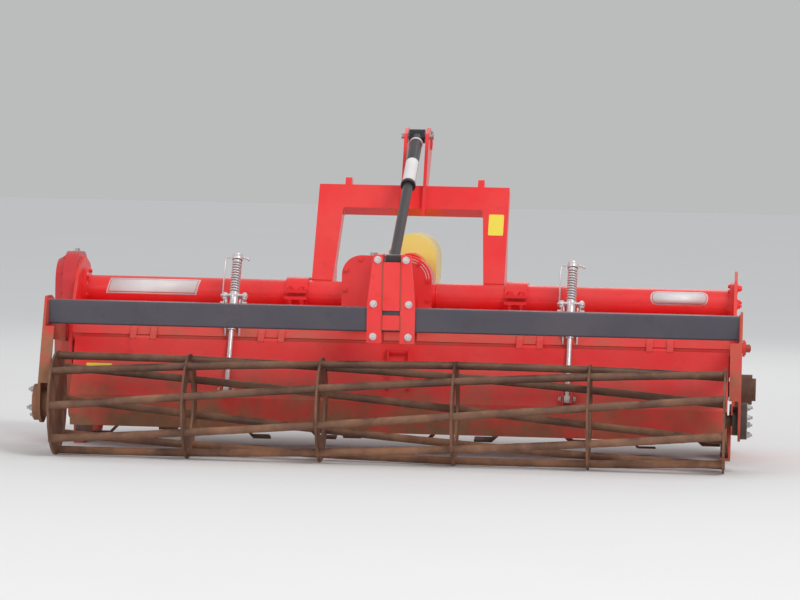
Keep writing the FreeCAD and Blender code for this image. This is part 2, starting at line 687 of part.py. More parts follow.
def make_drive_case():
    """The oil-bath case on the left: a flanged back half and a bolted outer half."""
    rim = s.case_rim
    bore = (0, s.rotor_up, s.rotor_shaft_radius + s.run_gap)
    back = slab("X", -case_split, -plate_outer,
                case_corners(s.case_top_radius + rim, s.case_low_radius + rim), circles=(bore,))
    node(back, "drive_case")
    face = case_split + s.case_front - s.case_boss
    cover = slab("X", -case_split - rim, -case_split,
                 case_corners(s.case_top_radius + rim, s.case_low_radius + rim))
    draft = s.case_draft
    shell = add_slab(cover, "X", -face, -case_split - rim,
                     case_corners(s.case_top_radius - draft, s.case_low_radius - draft))
    bind(shell, TaperAngle=angle_of(draft, face - case_split - rim))
    bosses = (
        # height, radius
        (s.rotor_up, s.case_boss_radius),
        (s.tube_axis_up, s.case_head_radius),
    )
    for up, radius in bosses:
        add_slab(cover, "X", -face - s.case_boss, -face, circles=((0, up, radius),))
    cut_slab(cover, "X", -face + s.case_wall, -case_split, circles=(bore,))
    node(cover, "drive_case_cover")


def make_rotor_bearing():
    """The flanged bearing hub outside the right side plate."""
    axis = (0, s.rotor_up)
    hub_out = plate_outer + s.hub_deep
    steps = (
        # start, end, radius
        (plate_outer, plate_outer + s.hub_flange_thick, s.hub_flange_radius),
        (plate_outer + s.hub_flange_thick, hub_out, s.hub_radius),
        (hub_out, hub_out + s.hub_cap_deep, s.hub_cap_radius),
    )
    hub = new_body()
    for start, end, radius in steps:
        add_slab(hub, "X", start, end, circles=((*axis, radius),))
    bore = (*axis, s.rotor_shaft_radius + s.run_gap)
    cut_slab(hub, "X", plate_outer, hub_out - s.hub_wall, circles=(bore,))
    node(hub, "rotor_bearing")


def make_rotor():
    """The rotor: a tube with stub shafts and a row of flanges that carry the blades."""
    axis = (0, s.rotor_up)
    half = s.plate_inner - s.rotor_gap
    rotor = slab("X", -half, half, circles=((*axis, s.rotor_tube_radius),))
    left_end = case_split + s.case_front - s.case_boss - s.case_wall - s.shaft_end_gap
    right_end = plate_outer + s.hub_deep - s.hub_wall - s.shaft_end_gap
    add_slab(rotor, "X", -left_end, -half, circles=((*axis, s.rotor_shaft_radius),))
    add_slab(rotor, "X", half, right_end, circles=((*axis, s.rotor_shaft_radius),))
    first = -rotor_flange_pitch * (s.rotor_flange_count - 1) / 2
    half_thick = s.rotor_flange_thick / 2
    corners = []
    for number in range(int(s.blades_per_flange.value)):
        for edge in (-1, 1):
            turn, radius = 360 / s.blades_per_flange * number + s.flange_land * edge, s.rotor_flange_radius
            corners.append((radius * cosine(turn), s.rotor_up + radius * sine(turn)))
    flange = add_slab(rotor, "X", first - half_thick, first + half_thick, corners)
    doc.recompute()
    row = rotor.newObject("PartDesign::LinearPattern", "row")
    row.Originals = [flange]
    row.Direction = (next(f for f in rotor.Origin.OriginFeatures if f.Role == "X_Axis"), [""])
    bind(row, Length=rotor_flange_pitch * (s.rotor_flange_count - 1), Occurrences=s.rotor_flange_count)
    rotor.Tip = row
    node(rotor, "rotor")


def make_blade():
    """One L-shaped blade on the +X face of a flange, its shank upright and the rotor's axis at z 0."""
    thick, face, bend = s.blade_thick, s.rotor_flange_thick / 2, s.blade_bend
    profile = (
        (face, s.blade_root),
        (face + thick, s.blade_root),
        (face + thick, s.blade_reach - thick - bend),
        (face + thick + bend, s.blade_reach - thick),
        (face + s.blade_leg, s.blade_reach - thick),
        (face + s.blade_leg, s.blade_reach),
        (face + thick / 2 + bend, s.blade_reach),
        (face, s.blade_reach - thick / 2 - bend),
    )
    half = s.blade_width / 2
    sickle = (
        (-half, s.blade_root),
        (half, s.blade_root),
        (half + s.blade_swell, s.blade_root + s.blade_belly_up),
        (half - s.blade_sweep, s.blade_reach + s.cut_over),
        (-half - s.blade_sweep, s.blade_reach + s.cut_over),
        (-half - s.blade_swell, s.blade_root + s.blade_belly_up),
    )
    bent = slab("Y", -s.blade_width, s.blade_width, profile)
    outline = slab("X", 0, s.blade_leg + s.blade_width, sickle)
    blade = doc.addObject("Part::MultiCommon", "blade")
    blade.Shapes = [bent, outline]
    return blade


def make_rotor_blades():
    """Blades on both faces of every flange, turned on from one flange to the next."""
    blade = make_blade()
    doc.recompute()
    right_hand = blade.Shape.copy()
    left_hand = right_hand.mirror(FreeCAD.Vector(), AXES["X"])
    flanges = int(s.rotor_flange_count.value)
    per_flange = int(s.blades_per_flange.value)
    pitch = rotor_flange_pitch.value
    pieces = []
    for flange in range(flanges):
        across = pitch * (flange - (flanges - 1) / 2)
        for number in range(per_flange):
            turn = 360 * number / per_flange + s.blade_stagger.value * flange
            piece = (right_hand, left_hand)[number % 2].copy()
            piece.Placement = FreeCAD.Placement(
                FreeCAD.Vector(across, 0, 0), FreeCAD.Rotation(AXES["X"], turn)
            ).multiply(piece.Placement)
            pieces.append(piece)
    blades = doc.addObject("Part::Feature", "blades")
    blades.Shape = Part.Compound(pieces)
    node(blades, "rotor_blades")
    bind(blades, Placement__Base__z=s.rotor_up)


def hood_top():
    return s.tube_axis_up - s.tube_radius - s.hood_gap


def hood_path():
    """The upper side of the hood, from its rear edge over the rotor to the front lip."""
    top = hood_top()
    return (
        (s.hood_edge_back, s.hood_edge_up),
        (s.hood_rear_bend, s.hood_rear_up),
        (-s.hood_flat, top),
        (s.hood_flat, top),
        (s.hood_front_bend, s.hood_front_up),
        (s.hood_lip_front - s.hood_lip_in, s.hood_lip_up + s.hood_lip_tall),
        (s.hood_lip_front, s.hood_lip_up),
    )


def hood_slab():
    return slab("X", -s.plate_inner, s.plate_inner, sheet_section(hood_path(), s.hood_thick))


def make_hood():
    node(hood_slab(), "hood")


def make_front_guard():
    """A rail along the front of the hood, on three flat brackets."""
    reach = s.plate_inner - s.rail_gap
    rail = cylinder("X", -reach, reach, (s.rail_ahead, s.rail_up), s.rail_radius)
    half, tall = s.rail_bracket_half, s.rail_bracket_tall
    brackets = [
        box((place - half, s.hood_lip_front - s.hood_thick, s.rail_up - tall),
            (place + half, s.rail_ahead, s.rail_up + tall))
        for place in (-s.hinge_place_far, as_size(0), s.hinge_place_far)
    ]
    node(cut(fuse(rail, *brackets), hood_slab()), "front_guard")


def make_board():
    """The trailing board with its hinge barrels and the ears for its rods."""
    path = (
        (s.board_edge_back, s.board_edge_up),
        (s.board_belly_back, s.board_belly_up),
        (s.board_band_back, s.board_band_up),
        (s.hinge_back - s.hinge_barrel_radius - s.weld, s.hinge_up + s.board_rise),
    )
    board = slab("X", -s.plate_inner + s.board_gap, s.plate_inner - s.board_gap,
                 sheet_section(path, s.board_thick))
    hinge = (s.hinge_back, s.hinge_up)
    barrels = [
        cylinder("X", place - s.hinge_barrel_long / 2, place + s.hinge_barrel_long / 2, hinge,
                 s.hinge_barrel_radius)
        for place in hinge_places()
    ]
    clear = s.hinge_side_long + s.hinge_side_gap * 2
    reliefs = []
    relief_radius = s.hinge_barrel_radius + s.hinge_relief
    for place in hinge_places():
        for side in (-1, 1):
            start, end = span(side, s.hinge_barrel_long / 2, s.hinge_barrel_long / 2 + clear)
            reliefs.append(cylinder("X", place + start, place + end, hinge, relief_radius))
        reliefs.append(cylinder("X", place - s.hinge_barrel_long / 2, place + s.hinge_barrel_long / 2,
                                hinge, s.hinge_pin_radius + s.run_gap))
    node(cut(fuse(board, *barrels), *reliefs), "trailing_board")


def hinge_places():
    return (-s.hinge_place_far, -s.hinge_place_near, s.hinge_place_near, s.hinge_place_far)


def make_board_hinges():
    """Hinge pins with their outer barrels and leaves, under the hood's rear edge."""
    hinge = (s.hinge_back, s.hinge_up)
    pieces = []
    for place in hinge_places():
        reach = s.hinge_barrel_long / 2 + s.hinge_side_gap + s.hinge_side_long
        parts = [cylinder("X", place - reach, place + reach, hinge, s.hinge_pin_radius)]
        for side in (-1, 1):
            start, end = span(side, reach - s.hinge_side_long, reach)
            parts.append(cylinder("X", place + start, place + end, hinge, s.hinge_barrel_radius))
            leaf = (
                (s.hinge_back - s.hinge_barrel_radius + s.leaf_inset, s.hinge_up + s.leaf_inset),
                (s.hood_edge_back - s.leaf_inset, s.hood_edge_up + s.leaf_rise),
                (s.hood_edge_back + s.leaf_run, s.hood_edge_up + s.leaf_rise * 2),
                (s.hood_edge_back, s.hood_edge_up),
                (s.hinge_back + s.hinge_barrel_radius - s.leaf_inset, s.hinge_up + s.leaf_inset),
            )
            parts.append(slab("X", place + start, place + end, leaf))
        pieces.append(fuse(*parts))
    node(cut(fuse(*pieces), hood_slab()), "board_hinges")


def rod_lean():
    """A board rod leans forward from its eye to its guide."""
    return angle_of(s.rod_guide_back - s.rod_eye_back, s.rod_guide_up - s.rod_eye_up)


def rod_run():
    """From a rod's eye to its guide."""
    return distance(s.rod_guide_back - s.rod_eye_back, s.rod_guide_up - s.rod_eye_up)


def make_board_ears():
    """Pairs of ears on the trailing board, each with the pin of a rod's eye."""
    pieces = []
    for side in (-1, 1):
        place = s.rod_place * side
        for ear_side in (-1, 1):
            start, end = span(ear_side, s.rod_ear_gap, s.rod_ear_gap + s.rod_ear_thick)
            run = s.board_belly_back - s.board_band_back
            rise = s.board_belly_up - s.board_band_up
            low, high = s.rod_eye_up - s.ear_below, s.rod_eye_up + s.ear_above
            corners = (
                (s.board_belly_back + (low - s.board_belly_up) * run / rise, low),
                (s.board_belly_back + (high - s.board_belly_up) * run / rise, high),
                (s.rod_eye_back - s.rod_ear_half, s.rod_eye_up + s.rod_ear_half, s.ear_round),
                (s.rod_eye_back - s.rod_ear_half, s.rod_eye_up - s.rod_ear_half, s.ear_round),
            )
            pieces.append(slab("X", place + start, place + end, corners))
        reach = s.rod_ear_gap + s.rod_ear_thick + s.small_pin_over
        pieces.append(cylinder("X", place - reach, place + reach, (s.rod_eye_back, s.rod_eye_up),
                               s.rod_pin_radius))
    node(fuse(*pieces), "board_ears")


def make_rod_guides():
    """Pairs of ears on the hood's rear slope; a rod's bush swivels between them."""
    slope = (s.hood_rear_up - s.hood_edge_up) / (s.hood_rear_bend - s.hood_edge_back)
    rear, front = s.rod_guide_back - s.guide_half, s.rod_guide_back + s.guide_half
    corners = (
        (rear, s.hood_edge_up + (rear - s.hood_edge_back) * slope),
        (front, s.hood_edge_up + (front - s.hood_edge_back) * slope),
        (front, s.guide_top, s.ear_round),
        (rear, s.guide_top, s.ear_round),
    )
    pieces = []
    for side in (-1, 1):
        for ear_side in (-1, 1):
            start, end = span(ear_side, s.guide_gap, s.guide_gap + s.rod_ear_thick)
            place = s.rod_place * side
            pieces.append(slab("X", place + start, place + end, corners, circles=(
                (s.rod_guide_back, s.rod_guide_up, s.rod_pin_radius + s.run_gap),)))
    node(group(*pieces), "rod_guides")


def make_rods():
    """Each board rod with its eye, collar and cap, its swivelling bush and its spring."""
    lean, run = rod_lean(), rod_run()
    eye = (s.rod_eye_back, s.rod_eye_up)
    top = run + s.rod_over
    for name, side in SIDES:
        place = s.rod_place * side
        foot = (place, *eye)
        shank = leaning_cylinder(foot, lean, s.rod_pin_radius + s.eye_wall, top, s.rod_radius)
        cap = leaning_cylinder(foot, lean, top - s.cap_long, top, s.cap_radius)
        collar_top = run - s.collar_down
        collar = leaning_cylinder(foot, lean, collar_top - s.collar_long, collar_top, s.collar_radius)
        half = s.rod_ear_gap - s.rod_eye_side
        ring = cylinder("X", place - half, place + half, eye, s.rod_eye_radius)
        hole = cylinder("X", place - s.rod_ear_gap, place + s.rod_ear_gap, eye,
                        s.rod_pin_radius + s.rod_eye_play)
        node(cut(fuse(shank, cap, collar, ring), hole), f"board_rod_{name}")
        guide = (place, s.rod_guide_back, s.rod_guide_up)
        sleeve = leaning_cylinder(guide, lean, -s.bush_half, s.bush_half, s.bush_radius)
        reach = s.guide_gap + s.rod_ear_thick + s.small_pin_over
        trunnion = cylinder("X", place - reach, place + reach, guide[1:], s.rod_pin_radius)
        way_half = s.bush_half + s.cut_over
        way = leaning_cylinder(guide, lean, -way_half, way_half, s.rod_radius + s.run_gap)
        node(cut(fuse(sleeve, trunnion), way), f"rod_bush_{name}")
        spring_top = s.rod_over - s.cap_long - s.spring_cap_gap
        coil = leaning_cylinder(guide, lean, s.bush_half, spring_top, s.spring_radius)
        inside = leaning_cylinder(guide, lean, s.bush_half, spring_top, s.spring_inside)
        node(cut(coil, inside), f"rod_spring_{name}")


def gearbox_corners(inset, low):
    """The gearbox seen from behind, drawn in from its cover's outline."""
    return (
        (s.gearbox_left + inset, low, s.low_corner),
        (s.gearbox_right - inset, low, s.low_corner),
        (s.gearbox_right - inset, s.gearbox_top - inset, s.right_corner),
        (s.gearbox_left + inset, s.gearbox_top - inset, s.left_corner),
    )


def make_gearbox():
    """The gearbox casting, its bosses for the main tube, its nose and its rear cover."""
    cover_front = s.gearbox_rear + s.cover_thick
    cover = slab("Y", s.gearbox_rear, cover_front, gearbox_corners(as_size(0), s.gearbox_low))
    node(cover, "gearbox_cover")
    case = slab("Y", cover_front, s.casting_front, gearbox_corners(s.casting_inset, s.casting_low))
    add_slab(case, "Y", s.casting_front, s.nose_front, circles=((0, s.shaft_up, s.nose_radius),))
    centre = (0, s.tube_axis_up)
    left, right = s.gearbox_left + s.casting_inset, s.gearbox_right - s.casting_inset
    for start, end in ((left - s.boss_long, left), (right, right + s.boss_long)):
        add_slab(case, "X", start, end, circles=((*centre, s.tube_radius - s.boss_inset),))
    cut_slab(case, "Y", s.nose_front - s.shaft_bore, s.nose_front, circles=(
        (0, s.shaft_up, s.shaft_radius + s.run_gap),))
    node(case, "gearbox_case")
    housing = slab("Y", s.nose_front, s.housing_front, circles=(
        (0, s.shaft_up, s.housing_radius), (0, s.shaft_up, s.shaft_radius + s.run_gap)))
    node(housing, "input_housing")


def make_input_shaft():
    """The splined stub that takes the tractor's drive."""
    inner_end = s.nose_front - s.shaft_bore + s.shaft_end_gap
    shaft = slab("Y", inner_end, s.shaft_front, circles=((0, 0, s.shaft_radius),))
    spread = 180 / s.spline_count - angle_of(s.spline_wide / 2, s.shaft_radius)
    corners = []
    for radius, edge in (
        # radius, side of the groove
        (s.shaft_radius - s.spline_deep, -1),
        (s.shaft_radius - s.spline_deep, 1),
        (s.shaft_radius + s.cut_over, 1),
        (s.shaft_radius + s.cut_over, -1),
    ):
        corners.append((radius * sine(spread) * edge, radius * cosine(spread)))
    groove = cut_slab(shaft, "Y", s.housing_front + s.spline_start, s.shaft_front, corners)
    doc.recompute()
    splines = shaft.newObject("PartDesign::PolarPattern", "splines")
    splines.Originals = [groove]
    splines.Axis = (next(f for f in shaft.Origin.OriginFeatures if f.Role == "Y_Axis"), [""])
    splines.Angle = 360
    bind(splines, Occurrences=s.spline_count)
    shaft.Tip = splines
    node(shaft, "input_shaft")
    bind(shaft, Placement__Base__z=s.shaft_up)


def guard_corners(radius):
    """The stadium section of the shaft guard."""
    return (
        (-radius, s.guard_low_up - radius, radius - s.end_flat),
        (radius, s.guard_low_up - radius, radius - s.end_flat),
        (radius, s.guard_high_up + radius, radius - s.end_flat),
        (-radius, s.guard_high_up + radius, radius - s.end_flat),
    )


def make_shaft_guard():
    """The shell round the input shaft, closed at the back and open at the front."""
    rear = s.housing_front
    guard = slab("Y", rear, s.guard_front, guard_corners(s.guard_radius),
                 circles=((0, s.shaft_up, s.shaft_radius + s.guard_hole_gap),))
    cut_slab(guard, "Y", rear + s.guard_wall, s.guard_front, guard_corners(s.guard_radius - s.guard_wall))
    node(guard, "shaft_guard")


def make_hitch_frame():
    """The leaning portal on the main tube, with two small lugs on its crossbar."""
    foot, head = s.frame_half - s.frame_foot_wide, s.frame_half - s.frame_head_wide
    under = frame_tall - s.frame_bar
    portal = slab("Y", -s.frame_deep / 2, s.frame_deep / 2, (
        (-s.frame_half, 0),
        (-foot, 0),
        (-head, under, s.frame_inner_corner),
        (head, under, s.frame_inner_corner),
        (foot, 0),
        (s.frame_half, 0),
        (s.frame_half, frame_tall, s.frame_corner),
        (-s.frame_half, frame_tall, s.frame_corner),
    ))
    for side in (-1, 1):
        start, end = span(side, s.lug_place - s.lug_wide / 2, s.lug_place + s.lug_wide / 2)
        add_slab(portal, "X", start, end, (
            (-s.frame_deep / 2, frame_tall - s.weld),
            (s.frame_deep / 2, frame_tall - s.weld),
            (s.frame_deep / 2, frame_tall + s.lug_tall, s.lug_round),
            (-s.frame_deep / 2, frame_tall + s.lug_tall, s.lug_round),
        ))
    portal.Placement = FreeCAD.Placement(FreeCAD.Vector(), FreeCAD.Rotation(AXES["X"], 10))
    bind(portal, Placement__Rotation__Angle=-frame_lean)
    bind_place(portal, (0, s.frame_foot_ahead, frame_foot_up))
    tube = cylinder("X", -s.frame_half - s.cut_over, s.frame_half + s.cut_over, (0, s.tube_axis_up),
                    s.tube_radius)
    brace = (
        frame_point(as_size(0), as_size(0)),
        frame_point(frame_tall - s.gusset_under, as_size(0)),
        (s.gusset_ahead, s.gusset_up),
        (s.gusset_ahead - s.frame_deep, s.gusset_up - s.frame_deep / 2),
    )
    gussets = []
    for side in (-1, 1):
        for outer in (s.frame_half, foot + s.gusset_thick):
            gussets.append(slab("X", *span(side, outer - s.gusset_thick, outer), brace))
    node(cut(fuse(portal, *gussets), tube), "hitch_frame")
    return portal


def frame_point(along, ahead):
    """A point of the leaning portal, along its slant and ahead of its middle plane."""
    return (
        s.frame_foot_ahead + along * sine(frame_lean) + ahead * cosine(frame_lean),
        frame_foot_up + along * cosine(frame_lean) - ahead * sine(frame_lean),
    )


def make_mast(portal):
    """Two plates on the crossbar with the bores of the top link and of the strut's pin."""
    corners = (
        (s.frame_head_ahead - s.mast_rear_foot, frame_head_up - s.mast_overlap),
        frame_point(frame_tall - s.frame_bar, as_size(0)),
        (link_ahead + s.mast_front, link_up - s.mast_nose, s.mast_round),
        (link_ahead + s.mast_front, link_up + s.mast_nose, s.mast_round),
        (strut_top_ahead - s.mast_rear_head + s.mast_crown, mast_top, s.mast_round),
        (strut_top_ahead - s.mast_rear_head, mast_top - s.mast_head_drop, s.mast_round),
    )
    bores = (
        (link_ahead, link_up, s.link_radius),
        (strut_top_ahead, strut_top_up, s.strut_pin_radius),
    )
    plates = []
    for side in (-1, 1):
        start, end = span(side, s.mast_inner, s.mast_inner + s.mast_thick)
        plates.append(slab("X", start, end, corners, bores))
    node(cut(group(*plates), portal), "mast_plates")
    reach = s.mast_inner + s.mast_thick + s.pin_over
    pin = cylinder("X", -reach, reach, (strut_top_ahead, strut_top_up), s.strut_pin_radius)
    node(group(pin), "strut_pin")


def make_lower_hitch():
    """On each side, two plates forward from the main tube and the clamp behind it."""
    corners = (
        (0, s.lower_foot),
        (s.lower_ahead + s.lower_eye, s.lower_up - s.lower_eye, s.lower_eye - s.end_flat),
        (s.lower_ahead + s.lower_eye, s.lower_up + s.lower_eye, s.lower_eye - s.end_flat),
        (s.flange_radius + s.lower_sweep, s.lower_top - s.lower_top_drop, s.lower_sweep),
        (s.flange_radius, s.lower_top, s.lower_top_drop),
        (0, s.lower_top),
    )
    bore = (s.lower_ahead, s.lower_up, s.lower_radius)
    for name, side in SIDES:
        plates = []
        for inner in (s.link_plate_inner, s.link_plate_outer):
            start, end = span(side, inner, inner + s.link_plate_thick)
            plates.append(slab("X", start, end, corners, circles=(bore,)))
        start, end = span(side, s.link_plate_inner, s.link_plate_outer + s.link_plate_thick)
        web_top = s.lower_top - s.weld
        web = box((start, s.tube_radius - s.lower_web_thick, web_top - s.lower_web_tall),
                  (end, s.tube_radius + s.lower_web_thick, web_top))
        tube = cylinder("X", start - s.cut_over, end + s.cut_over, (0, s.tube_axis_up), s.tube_radius)
        node(cut(fuse(*plates, web), tube), f"lower_hitch_{name}")
        outer, axis = s.tube_radius + s.clamp_thick, s.tube_axis_up
        shell = slab("X", start, end, circles=((0, axis, outer), (0, axis, s.tube_radius)))
        ear_half = s.clamp_slit / 2 + s.clamp_ear_thick
        ears = box((start, -s.tube_radius - s.ear_reach, axis - ear_half),
                   (end, -s.tube_radius - s.weld, axis + ear_half))
        slit = box((start - s.cut_over, -s.tube_radius - s.ear_reach - s.cut_over, axis - s.clamp_slit / 2),
                   (end + s.cut_over, -s.tube_radius + s.cut_over, axis + s.clamp_slit / 2))
        front = box((start - s.cut_over, as_size(0), axis - outer - s.cut_over),
                    (end + s.cut_over, outer + s.cut_over, axis + outer + s.cut_over))
        seat = box((start - s.cut_over, -outer - s.cut_over, axis - outer - s.cut_over),
                   (end + s.cut_over, s.cut_over, hood_top() + s.flange_seat))
        node(cut(fuse(shell, ears), slit, front, seat, tube), f"hitch_clamp_{name}")


def make_skids():
    """Adjustable runners inside the side plates."""
    for name, side in SIDES:
        floor = s.skid_floor
        start, end = span(side, s.plate_inner - s.skid_wide, s.plate_inner)
        runner = slab("X", start, end, (
            (s.skid_rear, 0),
            (s.skid_front, 0, s.skid_round),
            (s.skid_nose, s.skid_nose_up),
            (s.skid_nose - floor, s.skid_nose_up + floor / 2),
            (s.skid_front - floor / 2, floor, s.skid_round - floor),
            (s.skid_rear, floor),
        ))
        start, end = span(side, s.plate_inner - s.skid_thick, s.plate_inner)
        add_slab(runner, "X", start, end, (
            (s.skid_rear, floor / 2),
            (s.skid_front - s.skid_web_back, floor / 2),
            (s.skid_front, s.skid_top, s.skid_web_corner),
            (s.skid_rear, s.skid_top, s.skid_web_corner),
        ))
        node(runner, f"skid_{name}")


def make_arm_pivots():
    """Bosses and pins on the side plates that carry the roller frame."""
    centre = (s.pivot_back, s.pivot_up)
    pieces = []
    for side in (-1, 1):
        arm_face = arm_inner + s.arm_thick + s.side_play
        steps = (
            # inner end, outer end, radius
            (plate_outer, arm_inner - s.side_play, s.pivot_boss_radius),
            (arm_inner - s.side_play, arm_face, s.pivot_radius),
            (arm_face, arm_face + s.pivot_cap, s.pivot_boss_radius),
        )
        pieces.append(fuse(*stepped(side, centre, steps)))
    node(group(*pieces), "arm_pivots")


def beam_corners(half, *radius):
    """The square section of the beam, with rounded corners if a radius is given."""
    return [
        (s.beam_back + half * back, s.beam_up + half * up, *radius)
        for back, up in ((-1, -1), (1, -1), (1, 1), (-1, 1))
    ]


def make_roller_frame():
    """The beam, the arms with their rear flanges and the roller's bearings."""
    half = s.beam_size / 2
    beam = slab("X", -arm_outer, arm_outer, beam_corners(half, s.beam_corner))
    cut_slab(beam, "X", -arm_outer, arm_outer, beam_corners(half - s.beam_wall))
    node(beam, "roller_beam")
    nose, pivot_y, pivot_z = s.arm_nose, s.pivot_back, s.pivot_up
    rear_top, rear_low = s.beam_back - half - s.arm_rear_gap, s.roller_back - s.bearing_radius
    top, roller_up, foot = s.beam_up + half + s.arm_top_gap, s.roller_radius, s.bearing_radius
    corners = (
        (pivot_y + nose, pivot_z - nose, nose - s.end_flat),
        (pivot_y + nose, pivot_z + nose, nose - s.end_flat),
        (s.beam_back + half, top, s.arm_round),
        (rear_top, top, s.arm_corner),
        (rear_low, roller_up + foot),
        (rear_low, roller_up - foot, s.arm_foot_round),
        (s.roller_back + foot, roller_up - foot, s.arm_foot_round),
        (s.roller_back + foot, roller_up + s.arm_foot_up, s.arm_round),
        (s.beam_back + half, s.beam_up - half - s.arm_under, s.arm_round),
    )
    bores = (
        (pivot_y, pivot_z, s.pivot_radius + s.run_gap),
        (s.roller_back, roller_up, s.bearing_neck),
    )
    under = s.beam_up - half - s.beam_seat
    rear_under = rear_low + (rear_top - rear_low) * (under - roller_up - foot) / (top - roller_up - foot)
    for name, side in SIDES:
        arm = slab("X", *span(side, arm_inner, arm_outer), corners, bores)
        start, end = span(side, arm_inner - s.arm_flange_deep, arm_inner)
        add_slab(arm, "X", start, end, (
            (rear_under, under),
            (rear_under + s.arm_flange_thick, under),
            (rear_low + s.arm_flange_thick, roller_up + foot + s.weld),
            (rear_low, roller_up + foot + s.weld),
        ))
        start, end = span(side, arm_inner - s.cut_over, arm_outer + s.cut_over)
        cut_slab(arm, "X", start, end, beam_corners(half, s.beam_corner))
        node(arm, f"roller_arm_{name}")
    axis = (s.roller_back, roller_up)
    housings = []
    for side in (-1, 1):
        steps = (
            # inner end, outer end, radius
            (bearing_inner, arm_inner, s.bearing_neck + s.bearing_hub_wall),
            (arm_inner, arm_outer, s.bearing_neck),
            (arm_outer, arm_outer + s.bearing_deep, s.bearing_radius - s.bearing_rim),
        )
        start, end = span(side, bearing_inner, arm_outer + s.bearing_deep - s.bearing_cap)
        bore = cylinder("X", start, end, axis, s.roller_shaft_radius + s.run_gap)
        housings.append(cut(fuse(*stepped(side, axis, steps)), bore))
    node(group(*housings), "roller_bearings")


def make_centre_brackets():
    """Two flanged brackets clamped on the beam, which hold the strut's lower pin."""
    half = s.beam_size / 2
    rear, front = s.beam_back - half, s.beam_back + half
    thick, flange_top = s.bracket_thick, s.beam_up + half + s.bracket_front_up
    web_corners = (
        (rear - thick, bracket_low),
        (front + thick, bracket_low),
        (front + thick, flange_top),
        (strut_foot_back + s.bracket_head_half, bracket_top, s.bracket_round),
        (rear - thick, bracket_top),
    )
    rear_corners = (
        (s.bracket_inner, bracket_low),
        (s.bracket_outer, bracket_low),
        (s.bracket_outer, s.beam_up + half + s.bracket_rear_up),
        (s.bracket_head_outer, bracket_top),
        (s.bracket_inner, bracket_top),
    )
    wide = s.bracket_outer + s.cut_over
    beam = box((-wide, rear, s.beam_up - half), (wide, front, s.beam_up + half))
    pieces = []
    for side in (-1, 1):
        start, end = span(side, s.bracket_inner, s.bracket_inner + thick)
        web = slab("X", start, end, web_corners, circles=(
            (strut_foot_back, strut_foot_up, s.strut_pin_radius),))
        start, end = span(side, s.bracket_inner, s.bracket_outer)
        rear_flange = slab("Y", rear - thick, rear, [(u * side, v) for u, v in rear_corners[::side]])
        front_flange = box((start, front, bracket_low), (end, front + thick, flange_top))
        pieces.append(cut(fuse(web, rear_flange, front_flange), beam))
    tie = box((-s.bracket_inner, rear - thick, s.beam_up - half + s.tie_low),
              (s.bracket_inner, rear, s.beam_up + s.tie_high))
    shield = box((-s.bracket_inner, rear - thick, s.beam_up + half - s.shield_lap),
                 (s.bracket_inner, rear, strut_foot_up + s.shield_over))
    node(fuse(*pieces, tie, shield), "centre_brackets")
    reach = s.bracket_inner + thick + s.pin_over
    pin = cylinder("X", -reach, reach, (strut_foot_back, strut_foot_up), s.strut_pin_radius)
    node(group(pin), "strut_foot_pin")


def make_strut():
    """The telescopic strut from the mast to the roller frame."""
    run_y = strut_top_ahead - strut_foot_back
    run_z = strut_top_up - strut_foot_up
    lean, long = angle_of(run_y, run_z), distance(run_y, run_z)
    foot = (as_size(0), strut_foot_back, strut_foot_up)
    head_half = s.mast_inner - s.strut_side_gap
    top_pin = (strut_top_ahead, strut_top_up)
    body = leaning_cylinder(foot, lean, long - s.barrel_long, long - s.strut_head_radius + s.strut_neck,
                            s.barrel_radius)
    head = cylinder("X", -head_half, head_half, top_pin, s.strut_head_radius)
    pin_hole = cylinder("X", -head_half - s.weld, head_half + s.weld, top_pin,
                        s.strut_pin_radius + s.run_gap)
    way = leaning_cylinder(foot, lean, long - s.barrel_long - s.weld, long - s.barrel_bottom,
                           s.bar_radius + s.run_gap)
    node(cut(fuse(body, head), pin_hole, way), "strut_barrel")
    bar = leaning_cylinder(foot, lean, s.strut_foot_radius - s.strut_neck, long - s.barrel_long + s.bar_in,
                           s.bar_radius)
    eye_half = s.bracket_inner - s.strut_side_gap
    foot_pin = (strut_foot_back, strut_foot_up)
    eye = cylinder("X", -eye_half, eye_half, foot_pin, s.strut_foot_radius)
    foot_hole = cylinder("X", -eye_half - s.weld, eye_half + s.weld, foot_pin,
                         s.strut_pin_radius + s.strut_foot_play)
    node(cut(fuse(bar, eye), foot_hole), "strut_bar")


